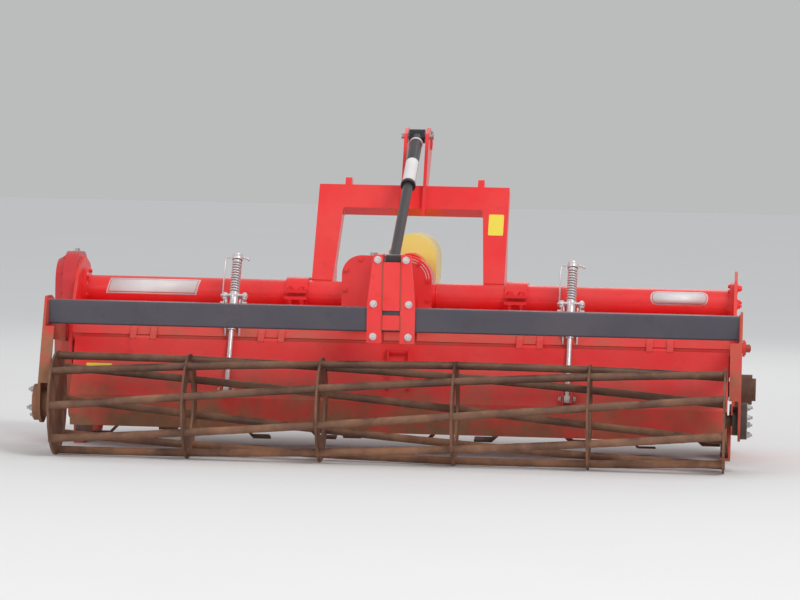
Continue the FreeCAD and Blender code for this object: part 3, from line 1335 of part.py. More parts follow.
def make_roller():
    """The cage roller: discs on two stub shafts, and bars that twist from end to end."""
    discs = int(s.disc_count.value)
    first = s.disc_gap - bearing_inner
    pitch = -(first * 2 + s.disc_thick) / (s.disc_count - 1)
    roller = new_body()
    for number in range(discs):
        start = first + pitch * number
        hole = ((0, 0, s.disc_hole),) if 0 < number < discs - 1 else ()
        add_slab(roller, "X", start, start + s.disc_thick, circles=((0, 0, s.roller_radius), *hole))
    circle = s.roller_radius - s.bar_size / 2 - s.bar_inset
    bars = []
    step = s.roller_twist / (s.disc_count - 1)
    for number in range(discs - 1):
        turn, following = -step * number, -step * (number + 1)
        centre = (circle * cosine(turn), circle * sine(turn))
        section = []
        for side in range(int(s.bar_sides.value)):
            corner = turn + 360 / s.bar_sides * (side + 0.5)
            section.append((centre[0] + s.bar_size / 2 * cosine(corner),
                            centre[1] + s.bar_size / 2 * sine(corner)))
        sketch = new_sketch(roller, "X", first + s.disc_thick / 2 + pitch * number, section)
        bar = roller.newObject("PartDesign::Pad", "bar")
        bar.Profile = sketch
        bar.UseCustomVector = True
        bar.AlongSketchNormal = True
        bind(bar, Length=pitch, Direction__x=pitch, Direction__y=circle * cosine(following) - centre[0],
             Direction__z=circle * sine(following) - centre[1])
        bars.append(bar)
    doc.recompute()
    cage = roller.newObject("PartDesign::PolarPattern", "cage")
    cage.Originals = bars
    cage.Axis = (next(f for f in roller.Origin.OriginFeatures if f.Role == "X_Axis"), [""])
    cage.Angle = 360
    bind(cage, Occurrences=s.roller_bars)
    roller.Tip = cage
    for side in (-1, 1):
        reach = arm_outer + s.bearing_deep - s.bearing_cap - s.weld
        start, end = span(side, -first - s.disc_thick, reach)
        add_slab(roller, "X", start, end, circles=((0, 0, s.roller_shaft_radius),))
    node(roller, "roller_cage")
    bind_place(roller, (0, s.origin_back + s.roller_back, s.roller_radius))


make_main_tubes()
make_side_plates()
make_drive_case()
make_rotor_bearing()
make_rotor()
make_rotor_blades()
make_hood()
make_front_guard()
make_board()
make_board_hinges()
make_board_ears()
make_rod_guides()
make_rods()
make_gearbox()
make_input_shaft()
make_shaft_guard()
make_mast(make_hitch_frame())
make_lower_hitch()
make_skids()
make_arm_pivots()
make_roller_frame()
make_centre_brackets()
make_strut()
make_roller()
doc.recompute()

broken = [thing.Label for thing in doc.Objects if {"Invalid", "Error"} & set(thing.State)]
for piece in nodes:
    if piece.Shape.isNull() or not piece.Shape.isValid() or not piece.Shape.Solids:
        broken.append(piece.Label)
if broken:
    raise RuntimeError(f"these failed to build: {sorted(set(broken))}")

os.makedirs("parts", exist_ok=True)
for piece in nodes:
    piece.Shape.exportStep(os.path.join("parts", f"{piece.Label}.step"))
    print(piece.Label, len(piece.Shape.Solids), round(piece.Shape.Volume / 1000), piece.Shape.BoundBox)
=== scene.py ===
import math

import bmesh
import bpy
from mathutils import Matrix, Quaternion, Vector


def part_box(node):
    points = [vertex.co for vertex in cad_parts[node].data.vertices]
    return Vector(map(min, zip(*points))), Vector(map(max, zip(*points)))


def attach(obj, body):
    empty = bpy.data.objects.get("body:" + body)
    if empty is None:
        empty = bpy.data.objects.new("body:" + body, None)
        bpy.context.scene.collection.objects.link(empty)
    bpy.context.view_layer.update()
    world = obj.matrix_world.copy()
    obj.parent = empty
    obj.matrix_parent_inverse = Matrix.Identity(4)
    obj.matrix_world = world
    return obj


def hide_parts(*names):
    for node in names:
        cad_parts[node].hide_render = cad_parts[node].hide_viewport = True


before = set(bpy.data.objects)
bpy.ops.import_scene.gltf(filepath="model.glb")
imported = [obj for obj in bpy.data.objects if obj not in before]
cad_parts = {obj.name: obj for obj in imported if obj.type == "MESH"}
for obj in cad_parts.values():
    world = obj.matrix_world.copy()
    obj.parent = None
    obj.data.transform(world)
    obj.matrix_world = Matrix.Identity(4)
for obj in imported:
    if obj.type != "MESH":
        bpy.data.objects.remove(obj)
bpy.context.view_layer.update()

# Camera
# It stands where the photograph was taken, well behind the machine and a little to its right,
# and looks at the machine's middle through a longer lens, so that the part fills the picture.
CAMERA_PLACE = Vector((1.301, -14.643, 1.293))
CAMERA_AIM = Vector((-0.011, 0.0, 0.585))
CAMERA_LEAN = math.radians(1.172)
SENSOR_WIDTH = 36
LENS = 172

look = (CAMERA_AIM - CAMERA_PLACE).normalized()
camera_data = bpy.data.cameras.new("camera")
camera_data.sensor_width = SENSOR_WIDTH
camera_data.lens = LENS
camera = bpy.data.objects.new("camera", camera_data)
camera.matrix_world = Matrix.LocRotScale(
    CAMERA_PLACE,
    look.to_track_quat("-Z", "Y") @ Quaternion((0, 0, 1), CAMERA_LEAN),
    None,
)
bpy.context.scene.collection.objects.link(camera)
bpy.context.scene.camera = camera
bpy.context.scene.view_settings.view_transform = "Standard"

# Floor and light
# A pale floor that runs into a pale world. A large soft lamp stands high at the right on the
# camera's side, a weaker one at the left opens the shadows, and a third lights the front.
FLOOR_HALF = 40
FLOOR_COLOUR = (0.78, 0.77, 0.755, 1)
FLOOR_SHADE = (0.75, 0.74, 0.725, 1)
FLOOR_ROUGHNESS = 0.9
WORLD_COLOUR = (0.80, 0.82, 0.85, 1)
WORLD_STRENGTH = 0.85
BACKDROP_COLOUR = (0.500, 0.503, 0.506, 1)
LAMPS = (
    # name, place, size, power
    ("key", (5.2, -7.4, 8.6), 3.4, 520),
    ("fill", (-5.0, -6.5, 3.2), 4.0, 100),
    ("front", (0.5, 6.0, 4.5), 4.0, 65),
)
SAME_POINT = 1e-6
CREASE = math.radians(35)


def link(name, mesh):
    """Put a mesh in the scene as an object at the origin."""
    piece = bpy.data.objects.new(name, mesh)
    bpy.context.scene.collection.objects.link(piece)
    return piece


def mesh_of(name, points, faces, material, smooth=False, creased=False):
    """A mesh object from points and faces, with its faces turned outwards."""
    mesh = bpy.data.meshes.new(name)
    mesh.from_pydata([tuple(p) for p in points], [], faces)
    work = bmesh.new()
    work.from_mesh(mesh)
    bmesh.ops.remove_doubles(work, verts=work.verts, dist=SAME_POINT)
    bmesh.ops.recalc_face_normals(work, faces=work.faces)
    work.to_mesh(mesh)
    work.free()
    mesh.materials.append(material)
    mesh.polygons.foreach_set("use_smooth", [smooth] * len(mesh.polygons))
    if creased:
        mesh.set_sharp_from_angle(angle=CREASE)
    return link(name, mesh)


def add_node(tree, kind, links=(), **settings):
    """A node with its settings, and its inputs set to values or linked to other sockets."""
    node = tree.nodes.new(kind)
    for key, value in settings.items():
        setattr(node, key, value)
    for socket, value in dict(links).items():
        if isinstance(value, bpy.types.NodeSocket):
            tree.links.new(value, node.inputs[socket])
        else:
            node.inputs[socket].default_value = value
    return node


def result_of(tree, kind, links=(), **settings):
    """The first output of a new node."""
    return add_node(tree, kind, links, **settings).outputs[0]


def calculate(tree, operation, first, second=0.0, clamp=False):
    """The result of a Math node."""
    return result_of(tree, "ShaderNodeMath", {0: first, 1: second}, operation=operation, use_clamp=clamp)


def blend_colours(tree, share, first, second):
    """The result of a colour Mix node."""
    return add_node(tree, "ShaderNodeMix", {0: share, 6: first, 7: second}, data_type="RGBA").outputs[2]


def noise(tree, place, scale, detail, roughness=0.55):
    """Soft noise over a place."""
    return result_of(tree, "ShaderNodeTexNoise",
                     {"Vector": place, "Scale": scale, "Detail": detail, "Roughness": roughness})


def between(tree, value, low, high, start=0.0, end=1.0):
    """A value carried from one range to another and held within it."""
    return result_of(tree, "ShaderNodeMapRange", {
        "Value": value, "From Min": low, "From Max": high, "To Min": start, "To Max": end})


def new_material(name):
    """A material, its tree, its shader, and the place that its patterns are laid out by."""
    material = bpy.data.materials.new(name)
    material.use_nodes = True
    tree = material.node_tree
    place = add_node(tree, "ShaderNodeTexCoord").outputs["Object"]
    return material, tree, tree.nodes["Principled BSDF"], place


floor_material, tree, shader, place = new_material("pale_floor")
floor_tone = blend_colours(tree, noise(tree, place, 0.7, 5), FLOOR_COLOUR, FLOOR_SHADE)
tree.links.new(floor_tone, shader.inputs["Base Color"])
shader.inputs["Roughness"].default_value = FLOOR_ROUGHNESS
floor_corners = [(FLOOR_HALF * x, FLOOR_HALF * y, 0) for x, y in ((-1, -1), (1, -1), (1, 1), (-1, 1))]
floor = mesh_of("floor", floor_corners, [(0, 1, 2, 3)], floor_material)

world = bpy.data.worlds.new("pale")
world.use_nodes = True
tree = world.node_tree
light = tree.nodes["Background"]
light.inputs["Color"].default_value = WORLD_COLOUR
light.inputs["Strength"].default_value = WORLD_STRENGTH
backdrop = result_of(tree, "ShaderNodeBackground", {"Color": BACKDROP_COLOUR, "Strength": 1.0})
rays = add_node(tree, "ShaderNodeLightPath").outputs
seen = calculate(tree, "MAXIMUM", rays["Is Camera Ray"], rays["Is Glossy Ray"])
seen = calculate(tree, "MAXIMUM", seen, rays["Is Transmission Ray"])
pick = result_of(tree, "ShaderNodeMixShader", {0: seen, 1: light.outputs[0], 2: backdrop})
tree.links.new(pick, tree.nodes["World Output"].inputs["Surface"])
bpy.context.scene.world = world
for name, place, size, power in LAMPS:
    lamp_data = bpy.data.lights.new(name, "AREA")
    lamp_data.size = size
    lamp_data.energy = power
    lamp = bpy.data.objects.new(name, lamp_data)
    lamp.location = place
    lamp.rotation_euler = (CAMERA_AIM - Vector(place)).to_track_quat("-Z", "Y").to_euler()
    bpy.context.scene.collection.objects.link(lamp)

# Main tube
# Two lengths of thick-walled steel pipe, from the gearbox to the side plates, each with a welded
# flange at its outer end. Like all red parts it has a gloss enamel, bleached by the sun and dusty.
RED = (0.860, 0.022, 0.026, 1)
RED_FADED = (0.900, 0.045, 0.045, 1)
RED_DEEP = (0.700, 0.012, 0.016, 1)
RED_TONES = (RED, RED_FADED, RED_DEEP)
SOIL = (0.225, 0.095, 0.048, 1)
SOIL_PALE = (0.36, 0.185, 0.105, 1)
SOIL_ROUGHNESS = 0.95
GRAIN_BUMP = 0.6
GRAIN_DEEP = 0.0008
CHIP = (0.11, 0.085, 0.07, 1)
COAT_ROUGHNESS = 0.15
ENAMEL_SPECULAR = 0.38
TUBE_RADIUS = 0.054
TUBE_SEAT_RADIUS = 0.052
TUBE_BEAD = 0.0035
TUBE_BEAD_POINTS = 48
BEAD_SIDES = 6
BEAD_THIN = 0.82
BEAD_RIPPLE = 0.28
FLANGE_RADIUS = 0.084
FLANGE_THICK = 0.016


def new_group(name, kind, inputs, outputs):
    """A node group with its sockets, each given by its name, its kind and perhaps a value."""
    tree = bpy.data.node_groups.new(name, kind + "NodeTree")
    for way, sockets in (("INPUT", inputs), ("OUTPUT", outputs)):
        for label, sort, *value in sockets:
            socket = tree.interface.new_socket(label, in_out=way, socket_type="NodeSocket" + sort)
            if value:
                socket.default_value = value[0]
    return tree, tree.nodes.new("NodeGroupInput").outputs, tree.nodes.new("NodeGroupOutput").inputs


def make_dust_group():
    """A group that lays dry soil on a colour: thick near the ground, thin on top, in patches."""
    tree, given, result = new_group("field dust", "Shader", (
        ("Colour", "Color", (0.5, 0.5, 0.5, 1)), ("Roughness", "Float", 0.4),
        ("Dust", "Float", 0.5), ("Low", "Float", 0.1), ("High", "Float", 0.6),
    ), (("Colour", "Color"), ("Roughness", "Float"), ("Height", "Float"), ("Cover", "Float")))
    where = add_node(tree, "ShaderNodeTexCoord").outputs
    place = where["Object"]
    up = add_node(tree, "ShaderNodeSeparateXYZ", {0: where["Normal"]}).outputs["Z"]
    height = add_node(tree, "ShaderNodeSeparateXYZ", {0: place}).outputs["Z"]
    splash = between(tree, height, given["High"], given["Low"])
    patches = between(tree, noise(tree, place, 5.5, 7, 0.62), 0.38, 0.68)
    specks = between(tree, noise(tree, place, 85, 4, 0.7), 0.5, 0.72)
    settled = between(tree, up, 0.35, 0.95, 0.0, 0.55)
    cover = calculate(tree, "MULTIPLY", splash, calculate(tree, "ADD", patches, 0.35))
    # more of it where it settles on level faces, in thin patches all over and in single specks
    for layer, share in ((settled, patches), (patches, 0.12), (specks, 0.16)):
        cover = calculate(tree, "ADD", cover, calculate(tree, "MULTIPLY", layer, share))
    cover = calculate(tree, "MULTIPLY", cover, given["Dust"], clamp=True)
    soil = blend_colours(tree, noise(tree, place, 23, 5), SOIL, SOIL_PALE)
    made = {
        "Colour": blend_colours(tree, cover, given["Colour"], soil),
        "Roughness": result_of(tree, "ShaderNodeMix", {0: cover, 2: given["Roughness"], 3: SOIL_ROUGHNESS}),
        "Height": calculate(tree, "MULTIPLY", noise(tree, place, 260, 3, 0.7), cover),
        "Cover": cover,
    }
    for label, value in made.items():
        tree.links.new(value, result[label])
    return tree


dust_group = make_dust_group()


def dusted(tree, shader, colour, roughness, dust, low, high, under=None):
    """Lay the dust group over a colour, wire it into the shader, and give the share it covers."""
    layer = add_node(tree, "ShaderNodeGroup", {
        "Colour": colour, "Roughness": roughness, "Dust": dust, "Low": low, "High": high,
    }, node_tree=dust_group).outputs
    height = layer["Height"]
    if under is not None:
        height = calculate(tree, "ADD", height, under)
    bump = result_of(tree, "ShaderNodeBump", {
        "Height": height, "Strength": GRAIN_BUMP, "Distance": GRAIN_DEEP})
    tree.links.new(layer["Colour"], shader.inputs["Base Color"])
    tree.links.new(layer["Roughness"], shader.inputs["Roughness"])
    tree.links.new(bump, shader.inputs["Normal"])
    return layer["Cover"]


def gloss_paint(name, tones, dust, low=0.1, high=0.6, roughness=0.3, coat=0.35):
    """Enamel with slow changes of tone, a fine orange peel and small chips down to the steel."""
    bright, faded, deep = tones
    material, tree, shader, place = new_material(name)
    tone = blend_colours(tree, between(tree, noise(tree, place, 2.6, 5), 0.42, 0.62), bright, faded)
    deeper = between(tree, noise(tree, place, 14, 6, 0.7), 0.56, 0.75, 0, 0.6)
    tone = blend_colours(tree, deeper, tone, deep)
    chips = between(tree, noise(tree, place, 120, 2, 0.4), 0.735, 0.75)
    worn = between(tree, noise(tree, place, 3.3, 3), 0.5, 0.6)
    tone = blend_colours(tree, calculate(tree, "MULTIPLY", chips, worn), tone, CHIP)
    peel = calculate(tree, "MULTIPLY", noise(tree, place, 700, 1, 0.3), 0.12)
    dusted(tree, shader, tone, roughness, dust, low, high, under=peel)
    shader.inputs["Coat Weight"].default_value = coat
    shader.inputs["Coat Roughness"].default_value = COAT_ROUGHNESS
    shader.inputs["Specular IOR Level"].default_value = ENAMEL_SPECULAR
    return material


def dustier_left(material, left, right):
    """Let the dust of a material fade from the left end of the machine to the right."""
    tree = material.node_tree
    place = add_node(tree, "ShaderNodeTexCoord").outputs["Object"]
    across = result_of(tree, "ShaderNodeSeparateXYZ", {0: place})
    layer = next(node for node in tree.nodes if node.type == "GROUP")
    tree.links.new(between(tree, across, -1.0, 1.0, left, right), layer.inputs["Dust"])


red_paint = gloss_paint("red_enamel", RED_TONES, dust=0.42, low=0.22, high=0.55)


def paint_node(material, *names):
    """Give CAD nodes a material in place of their plain one."""
    for name in names:
        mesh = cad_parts[name].data
        mesh.materials.clear()
        mesh.materials.append(material)


paint_node(red_paint, "main_tube_left", "main_tube_right")
tube_low, tube_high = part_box("main_tube_left")
tube_centre = Vector((0, (tube_low.y + tube_high.y) / 2, tube_high.z - FLANGE_RADIUS))


def bar_along(tree, curve, sides, radius):
    """A round bar along a curve."""
    ring = result_of(tree, "GeometryNodeCurvePrimitiveCircle", {"Resolution": sides, "Radius": radius})
    return result_of(tree, "GeometryNodeCurveToMesh", {
        "Curve": curve, "Profile Curve": ring, "Fill Caps": True})


def close_tree(tree, geometry, given, result):
    """End a tree: its instances are made real, get their finish and are put out."""
    solid = result_of(tree, "GeometryNodeRealizeInstances", {0: geometry})
    finished = result_of(tree, "GeometryNodeSetMaterial", {0: solid, "Material": given["Finish"]})
    tree.links.new(finished, result[0])
    return tree


def make_bead_tree():
    """A weld bead along every edge path of a mesh, with the ripples of its runs."""
    tree, given, result = new_group("weld bead", "Geometry", (
        ("Paths", "Geometry"), ("Radius", "Float", 0.004), ("Step", "Float", 0.004), ("Finish", "Material"),
    ), (("Bead", "Geometry"),))
    curve = result_of(tree, "GeometryNodeMeshToCurve", {"Mesh": given["Paths"]})
    even = result_of(tree, "GeometryNodeResampleCurve", {"Curve": curve, "Length": given["Step"]},
                     mode="LENGTH")
    index = result_of(tree, "GeometryNodeInputIndex")
    ripple = calculate(tree, "MULTIPLY", calculate(tree, "MODULO", index, 2.0), BEAD_RIPPLE)
    rough = add_node(tree, "FunctionNodeRandomValue", {2: BEAD_THIN, 3: 1.0, "Seed": 3}, data_type="FLOAT")
    size = calculate(tree, "SUBTRACT", rough.outputs[1], ripple)
    sized = result_of(tree, "GeometryNodeSetCurveRadius", {"Curve": even, "Radius": size})
    return close_tree(tree, bar_along(tree, sized, BEAD_SIDES, given["Radius"]), given, result)


bead_tree = make_bead_tree()


def fixed(piece, body):
    """Fix a piece to its body."""
    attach(piece, body)
    return piece


def grown(name, tree, points=((0, 0, 0),), edges=(), ways=(), smooth=True, **inputs):
    """Run a node tree on points and edges, and keep the plain mesh that it makes."""
    start = bpy.data.meshes.new(name + ".start")
    start.from_pydata([tuple(point) for point in points], edges, [])
    if ways:
        out = start.attributes.new("out", "FLOAT_VECTOR", "POINT")
        out.data.foreach_set("vector", [value for way in ways for value in way])
    holder = link(name + ".start", start)
    modifier = holder.modifiers.new("tree", "NODES")
    modifier.node_group = tree
    sockets = {item.name: item.identifier for item in tree.interface.items_tree if item.in_out == "INPUT"}
    for key, value in inputs.items():
        modifier[sockets[key]] = value
    bpy.context.view_layer.update()
    seen = holder.evaluated_get(bpy.context.evaluated_depsgraph_get())
    mesh = bpy.data.meshes.new_from_object(seen)
    holder.modifiers.remove(modifier)
    bpy.data.objects.remove(holder)
    bpy.data.meshes.remove(start)
    mesh.name = name
    if smooth:
        mesh.polygons.foreach_set("use_smooth", [True] * len(mesh.polygons))
    return link(name, mesh)


def welds(name, body, paths, radius=0.004, finish=red_paint):
    """Weld beads along paths of points; a path may close on itself."""
    points, edges = [], []
    for path in paths:
        first = len(points)
        points += path
        edges += [(first + n, first + n + 1) for n in range(len(path) - 1)]
        if (Vector(path[0]) - Vector(path[-1])).length < SAME_POINT:
            points.pop()
            edges[-1] = (edges[-1][0], first)
    piece = grown(name, bead_tree, points, edges, Radius=radius, Step=radius, Finish=finish)
    fixed(piece, body)


def circle(centre, radius, axis, count, first=0.0):
    """Points evenly round a circle about an axis, from a first angle on."""
    axis = Vector(axis)
    side = axis.orthogonal().normalized()
    return [Vector(centre) + Quaternion(axis, first + math.tau * n / count) @ side * radius
            for n in range(count)]


def looped(points):
    """A path that ends where it starts."""
    return points + points[:1]


tube_ends = []
for side, inner in ((-1, tube_high.x), (1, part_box("main_tube_right")[0].x)):
    outer = side * (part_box("side_plate_right")[0].x - FLANGE_THICK)
    for x, radius in ((outer, TUBE_RADIUS), (inner, TUBE_SEAT_RADIUS)):
        ring = circle((x, tube_centre.y, tube_centre.z), radius, (1, 0, 0), TUBE_BEAD_POINTS)
        tube_ends.append(looped(ring))
welds("tube_welds", "frame", tube_ends, radius=TUBE_BEAD)

# Blank labels on the main tube
# White vinyl labels with a thin printed frame, stuck on the upper rear of the tube; nothing is
# printed on them. The left one leans, the right one has round ends.
LABEL_THICK = 0.0004
LABEL_ROWS = 20
LABEL_FRAME = 0.006
LABEL_LINE = 0.0022
LABELS = (
    # name, left end, right end, lowest and highest angle above the rear, slant, round ends
    ("tube_label_left", -1.170, -0.814, -14, 58, 0.016, 0.0),
    ("tube_label_right", 0.948, 1.170, -8, 56, 0.0, 0.026),
)


def plain_finish(name, first, second, scale, detail, roughness, dust, low, high):
    """A smooth plastic or vinyl with slow clouds between two tones, and some dust."""
    material, tree, shader, place = new_material(name)
    tone = blend_colours(tree, noise(tree, place, scale, detail), first, second)
    dusted(tree, shader, tone, roughness, dust, low, high)
    return material


label_vinyl = plain_finish("label_vinyl", (0.86, 0.84, 0.84, 1), (0.74, 0.70, 0.69, 1), scale=12, detail=5,
                           roughness=0.35, dust=0.35, low=0.3, high=0.7)


def curved_sheet(name, under, over, material, creased=False):
    """A thin sheet between two strips, each a row of pairs of points."""
    points = [point for pair in under + over for point in pair]
    faces, top, last = [], len(under) * 2, len(under) - 1
    for n in range(last):
        for base in (0, top):
            faces.append((base + 2 * n, base + 2 * n + 1, base + 2 * n + 3, base + 2 * n + 2))
        for edge in (0, 1):
            faces.append((2 * n + edge, 2 * n + 2 + edge, top + 2 * n + 2 + edge, top + 2 * n + edge))
    for n in (0, last):
        faces.append((2 * n, 2 * n + 1, top + 2 * n + 1, top + 2 * n))
    return mesh_of(name, points, faces, material, smooth=True, creased=creased)


def label_rows(inset, start, end, low, high, slant, ends):
    """A label's rows, each an angle above the rear and two ends, drawn in by an inset."""
    low, high = math.radians(low), math.radians(high)
    tall = (high - low) * TUBE_RADIUS
    rows = []
    for n in range(LABEL_ROWS + 1):
        up = inset + (tall - 2 * inset) * n / LABEL_ROWS
        corner = max(ends - inset, 0.0)
        edge = min(up - inset, tall - inset - up)
        pull = corner - math.sqrt(max(corner ** 2 - max(corner - edge, 0) ** 2, 0))
        lean = slant * (up / tall - 0.5)
        rows.append((low + up / TUBE_RADIUS, start + inset + pull + lean, end - inset - pull + lean))
    return rows


def on_tube(rows, radius):
    """The pairs of points of a label's rows at a radius about the tube's middle."""
    return [[(x, tube_centre.y - radius * math.cos(angle), tube_centre.z + radius * math.sin(angle))
             for x in ends] for angle, *ends in rows]


label_layers = (
    # ending of its name, drawn in by, finish
    ("", 0.0, label_vinyl),
    ("_line", LABEL_FRAME, red_paint),
    ("_field", LABEL_FRAME + LABEL_LINE, label_vinyl),
)
for name, *sizes in LABELS:
    for number, (ending, inset, material) in enumerate(label_layers):
        rows = label_rows(inset, *sizes)
        radius = TUBE_RADIUS + number * LABEL_THICK
        under, over = on_tube(rows, radius), on_tube(rows, radius + LABEL_THICK)
        fixed(curved_sheet(name + ending, under, over, material), "frame")

# Fasteners
# Zinc-plated hexagon bolts with washers hold the flanges, bearings, clamps and brackets, some of
# them painted over. One node tree sets a head on every place, turned along its direction.
ZINC = (0.66, 0.67, 0.68, 1)
ZINC_DULL = (0.42, 0.42, 0.42, 1)
HEX_SIDES = 6
ROUND_SIDES = 18
THREAD_SIDES = 10
# all as shares of the width across the flats
WASHER_RADIUS = 0.86
WASHER_TALL = 0.13
HEX_RADIUS = 0.577
HEAD_TALL = 0.5
CROWN_RADIUS = 0.44
CROWN_TALL = 0.05
THREAD_RADIUS = 0.3


def make_bolt_tree():
    """Hexagon heads on washers, one for each point of a mesh, along the attribute 'out'."""
    tree, given, result = new_group("hexagon bolts", "Geometry", (
        ("Places", "Geometry"), ("Across", "Float", 0.019), ("Tall", "Float", 0.009),
        ("Shank", "Float", 0.001), ("Finish", "Material"),
    ), (("Bolts", "Geometry"),))
    across = given["Across"]
    bolt = add_node(tree, "GeometryNodeJoinGeometry")

    def round_step(sides, radius, tall, foot):
        """Add a step of the bolt, its radius a share of the width, and give the height of its top."""
        step = result_of(tree, "GeometryNodeMeshCylinder", {
            "Vertices": sides, "Radius": calculate(tree, "MULTIPLY", across, radius), "Depth": tall,
        }, fill_type="NGON")
        middle = calculate(tree, "ADD", foot, calculate(tree, "DIVIDE", tall, 2.0))
        lift = result_of(tree, "ShaderNodeCombineXYZ", {"Z": middle})
        placed = result_of(tree, "GeometryNodeTransform", {"Geometry": step, "Translation": lift})
        tree.links.new(placed, bolt.inputs[0])
        return calculate(tree, "ADD", foot, tall)

    washer_tall = calculate(tree, "MULTIPLY", across, WASHER_TALL)
    crown_tall = calculate(tree, "MULTIPLY", across, CROWN_TALL)
    washer_top = round_step(ROUND_SIDES, WASHER_RADIUS, washer_tall, 0.0)
    head_top = round_step(HEX_SIDES, HEX_RADIUS, given["Tall"], washer_top)
    round_step(ROUND_SIDES, CROWN_RADIUS, crown_tall, head_top)
    round_step(THREAD_SIDES, THREAD_RADIUS, given["Shank"], head_top)
    out = result_of(tree, "GeometryNodeInputNamedAttribute", {"Name": "out"}, data_type="FLOAT_VECTOR")
    turn = result_of(tree, "FunctionNodeAlignEulerToVector", {"Vector": out}, axis="Z")
    spin = add_node(tree, "FunctionNodeRandomValue", {2: 0.0, 3: 1.0, "Seed": 7}, data_type="FLOAT")
    own = result_of(tree, "ShaderNodeCombineXYZ", {"Z": spin.outputs[1]})
    turned = result_of(tree, "FunctionNodeRotateEuler", {0: turn, 1: own}, space="LOCAL")
    row = result_of(tree, "GeometryNodeInstanceOnPoints", {
        "Points": given["Places"], "Instance": bolt.outputs[0], "Rotation": turned})
    return close_tree(tree, row, given, result)


bolt_tree = make_bolt_tree()


def make_zinc(name, bright, dull, dust=0.25, metal=0.75):
    """Bright plating with a cloudy spangle, dull in patches."""
    material, tree, shader, place = new_material(name)
    cloud = result_of(tree, "ShaderNodeTexVoronoi", {"Vector": place, "Scale": 170.0})
    tone = blend_colours(tree, between(tree, cloud, 0.1, 0.8), bright, dull)
    tone = blend_colours(tree, between(tree, noise(tree, place, 30, 5, 0.7), 0.55, 0.7, 0, 0.5), tone, dull)
    dusted(tree, shader, tone, 0.33, dust, 0.1, 0.5)
    shader.inputs["Metallic"].default_value = metal
    return material


zinc_plate = make_zinc("zinc_plating", ZINC, ZINC_DULL)


def bolts(name, body, places, across=0.019, shank=0.001, finish=zinc_plate):
    """Bolts at places (point, direction) on one body."""
    points, ways = zip(*places)
    piece = grown(name, bolt_tree, points, ways=ways, smooth=False, Across=across,
                  Tall=across * HEAD_TALL, Shank=shank, Finish=finish)
    fixed(piece, body)


def painted_bolts(name, places, across, shank=0.001, finish=red_paint):
    """Bolts of the frame that were painted over with what they hold."""
    bolts(name, "frame", places, across, shank, finish)


def around(centre, radius, count, axis, first):
    """Places in a ring about an axis through a centre, all facing along it."""
    return [(point, Vector(axis)) for point in circle(centre, radius, axis, count, first)]


# Side plates
# Laser-cut steel plates that close the rotor's chamber and carry everything: the tube's ends, the
# hood, the rotor's bearing and the pivots of the roller's arms. Soil is thrown against them.
PLATE_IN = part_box("side_plate_right")[0].x
PLATE_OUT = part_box("side_plate_right")[1].x
END_RING = 0.072
FLANGE_RING = 0.071
RING_BOLTS = 6
FLANGE_BOLTS_REACH = 0.04
red_paint_low = gloss_paint("red_enamel_soiled", RED_TONES, dust=1.0, low=0.06, high=0.42, roughness=0.42,
                            coat=0.15)
paint_node(red_paint_low, "side_plate_left", "side_plate_right", "arm_pivots")
tube_end = (PLATE_OUT, tube_centre.y, tube_centre.z)
end_bolts = around(tube_end, END_RING, RING_BOLTS, (1, 0, 0), first=0.3)
painted_bolts("tube_end_bolts", end_bolts, across=0.019, shank=0.006)
inner_bolts = []
for side in (-1, 1):
    flange = (side * (PLATE_IN - FLANGE_THICK), tube_centre.y, tube_centre.z)
    ring = around(flange, FLANGE_RING, RING_BOLTS, (-side, 0, 0), first=0.55)
    # lower bolts would stand in the hood
    inner_bolts += [(place, way) for place, way in ring if place.z > tube_centre.z - FLANGE_BOLTS_REACH]
painted_bolts("tube_flange_bolts", inner_bolts, across=0.013)

# Drive case
# A steel case on the left that holds the gears in an oil bath. Its back half is bolted to the side
# plate, and the tapered cover is closed on it by a ring of small bolts.
# the case and its cover get darker red tones than the other red parts: painted shade for the shade at the
# machine's left end; the dust on them is real
CASE_SHADED_TONES = ((0.60, 0.020, 0.030, 1), (0.62, 0.045, 0.05, 1), RED_DEEP)
CASE_RIM_IN = 0.006
CASE_RIM_THICK = 0.011
CASE_LOW_HALF = 0.135
CASE_TOP_HALF = 0.145
CASE_FLAT = 0.030
CASE_BOLTS = 20
ARC_STEPS = 10
shaded_case_paint = gloss_paint("red_enamel_case_painted_shade", CASE_SHADED_TONES, dust=0.8, low=0.15, high=0.62, roughness=0.4,
                         coat=0.2)
paint_node(shaded_case_paint, "drive_case", "drive_case_cover")


def rounded_outline(corners):
    """Points of a closed outline from corners (u, v, radius), evenly close along its arcs."""
    outline = []
    for n, (u, v, radius) in enumerate(corners):
        point = Vector((u, v))
        back = (Vector(corners[n - 1][:2]) - point).normalized()
        ahead = (Vector(corners[(n + 1) % len(corners)][:2]) - point).normalized()
        half = back.angle(ahead) / 2
        centre = point + (back + ahead).normalized() * radius / math.sin(half)
        first = point + back * radius / math.tan(half) - centre
        last = point + ahead * radius / math.tan(half) - centre
        turn = first.angle_signed(last)
        for step in range(ARC_STEPS + 1):
            angle = -turn * step / ARC_STEPS
            cos, sin = math.cos(angle), math.sin(angle)
            outline.append(centre + Vector((first.x * cos - first.y * sin, first.x * sin + first.y * cos)))
    return outline


def spaced(outline, count):
    """Points at even distances round a closed outline."""
    loop = looped(outline)
    legs = [(b - a).length for a, b in zip(loop, loop[1:])]
    total, found = sum(legs), []
    for n in range(count):
        left = total * (n + 0.5) / count
        for start, end, leg in zip(loop, loop[1:], legs):
            if left <= leg:
                found.append(start.lerp(end, left / leg))
                break
            left -= leg
    return found


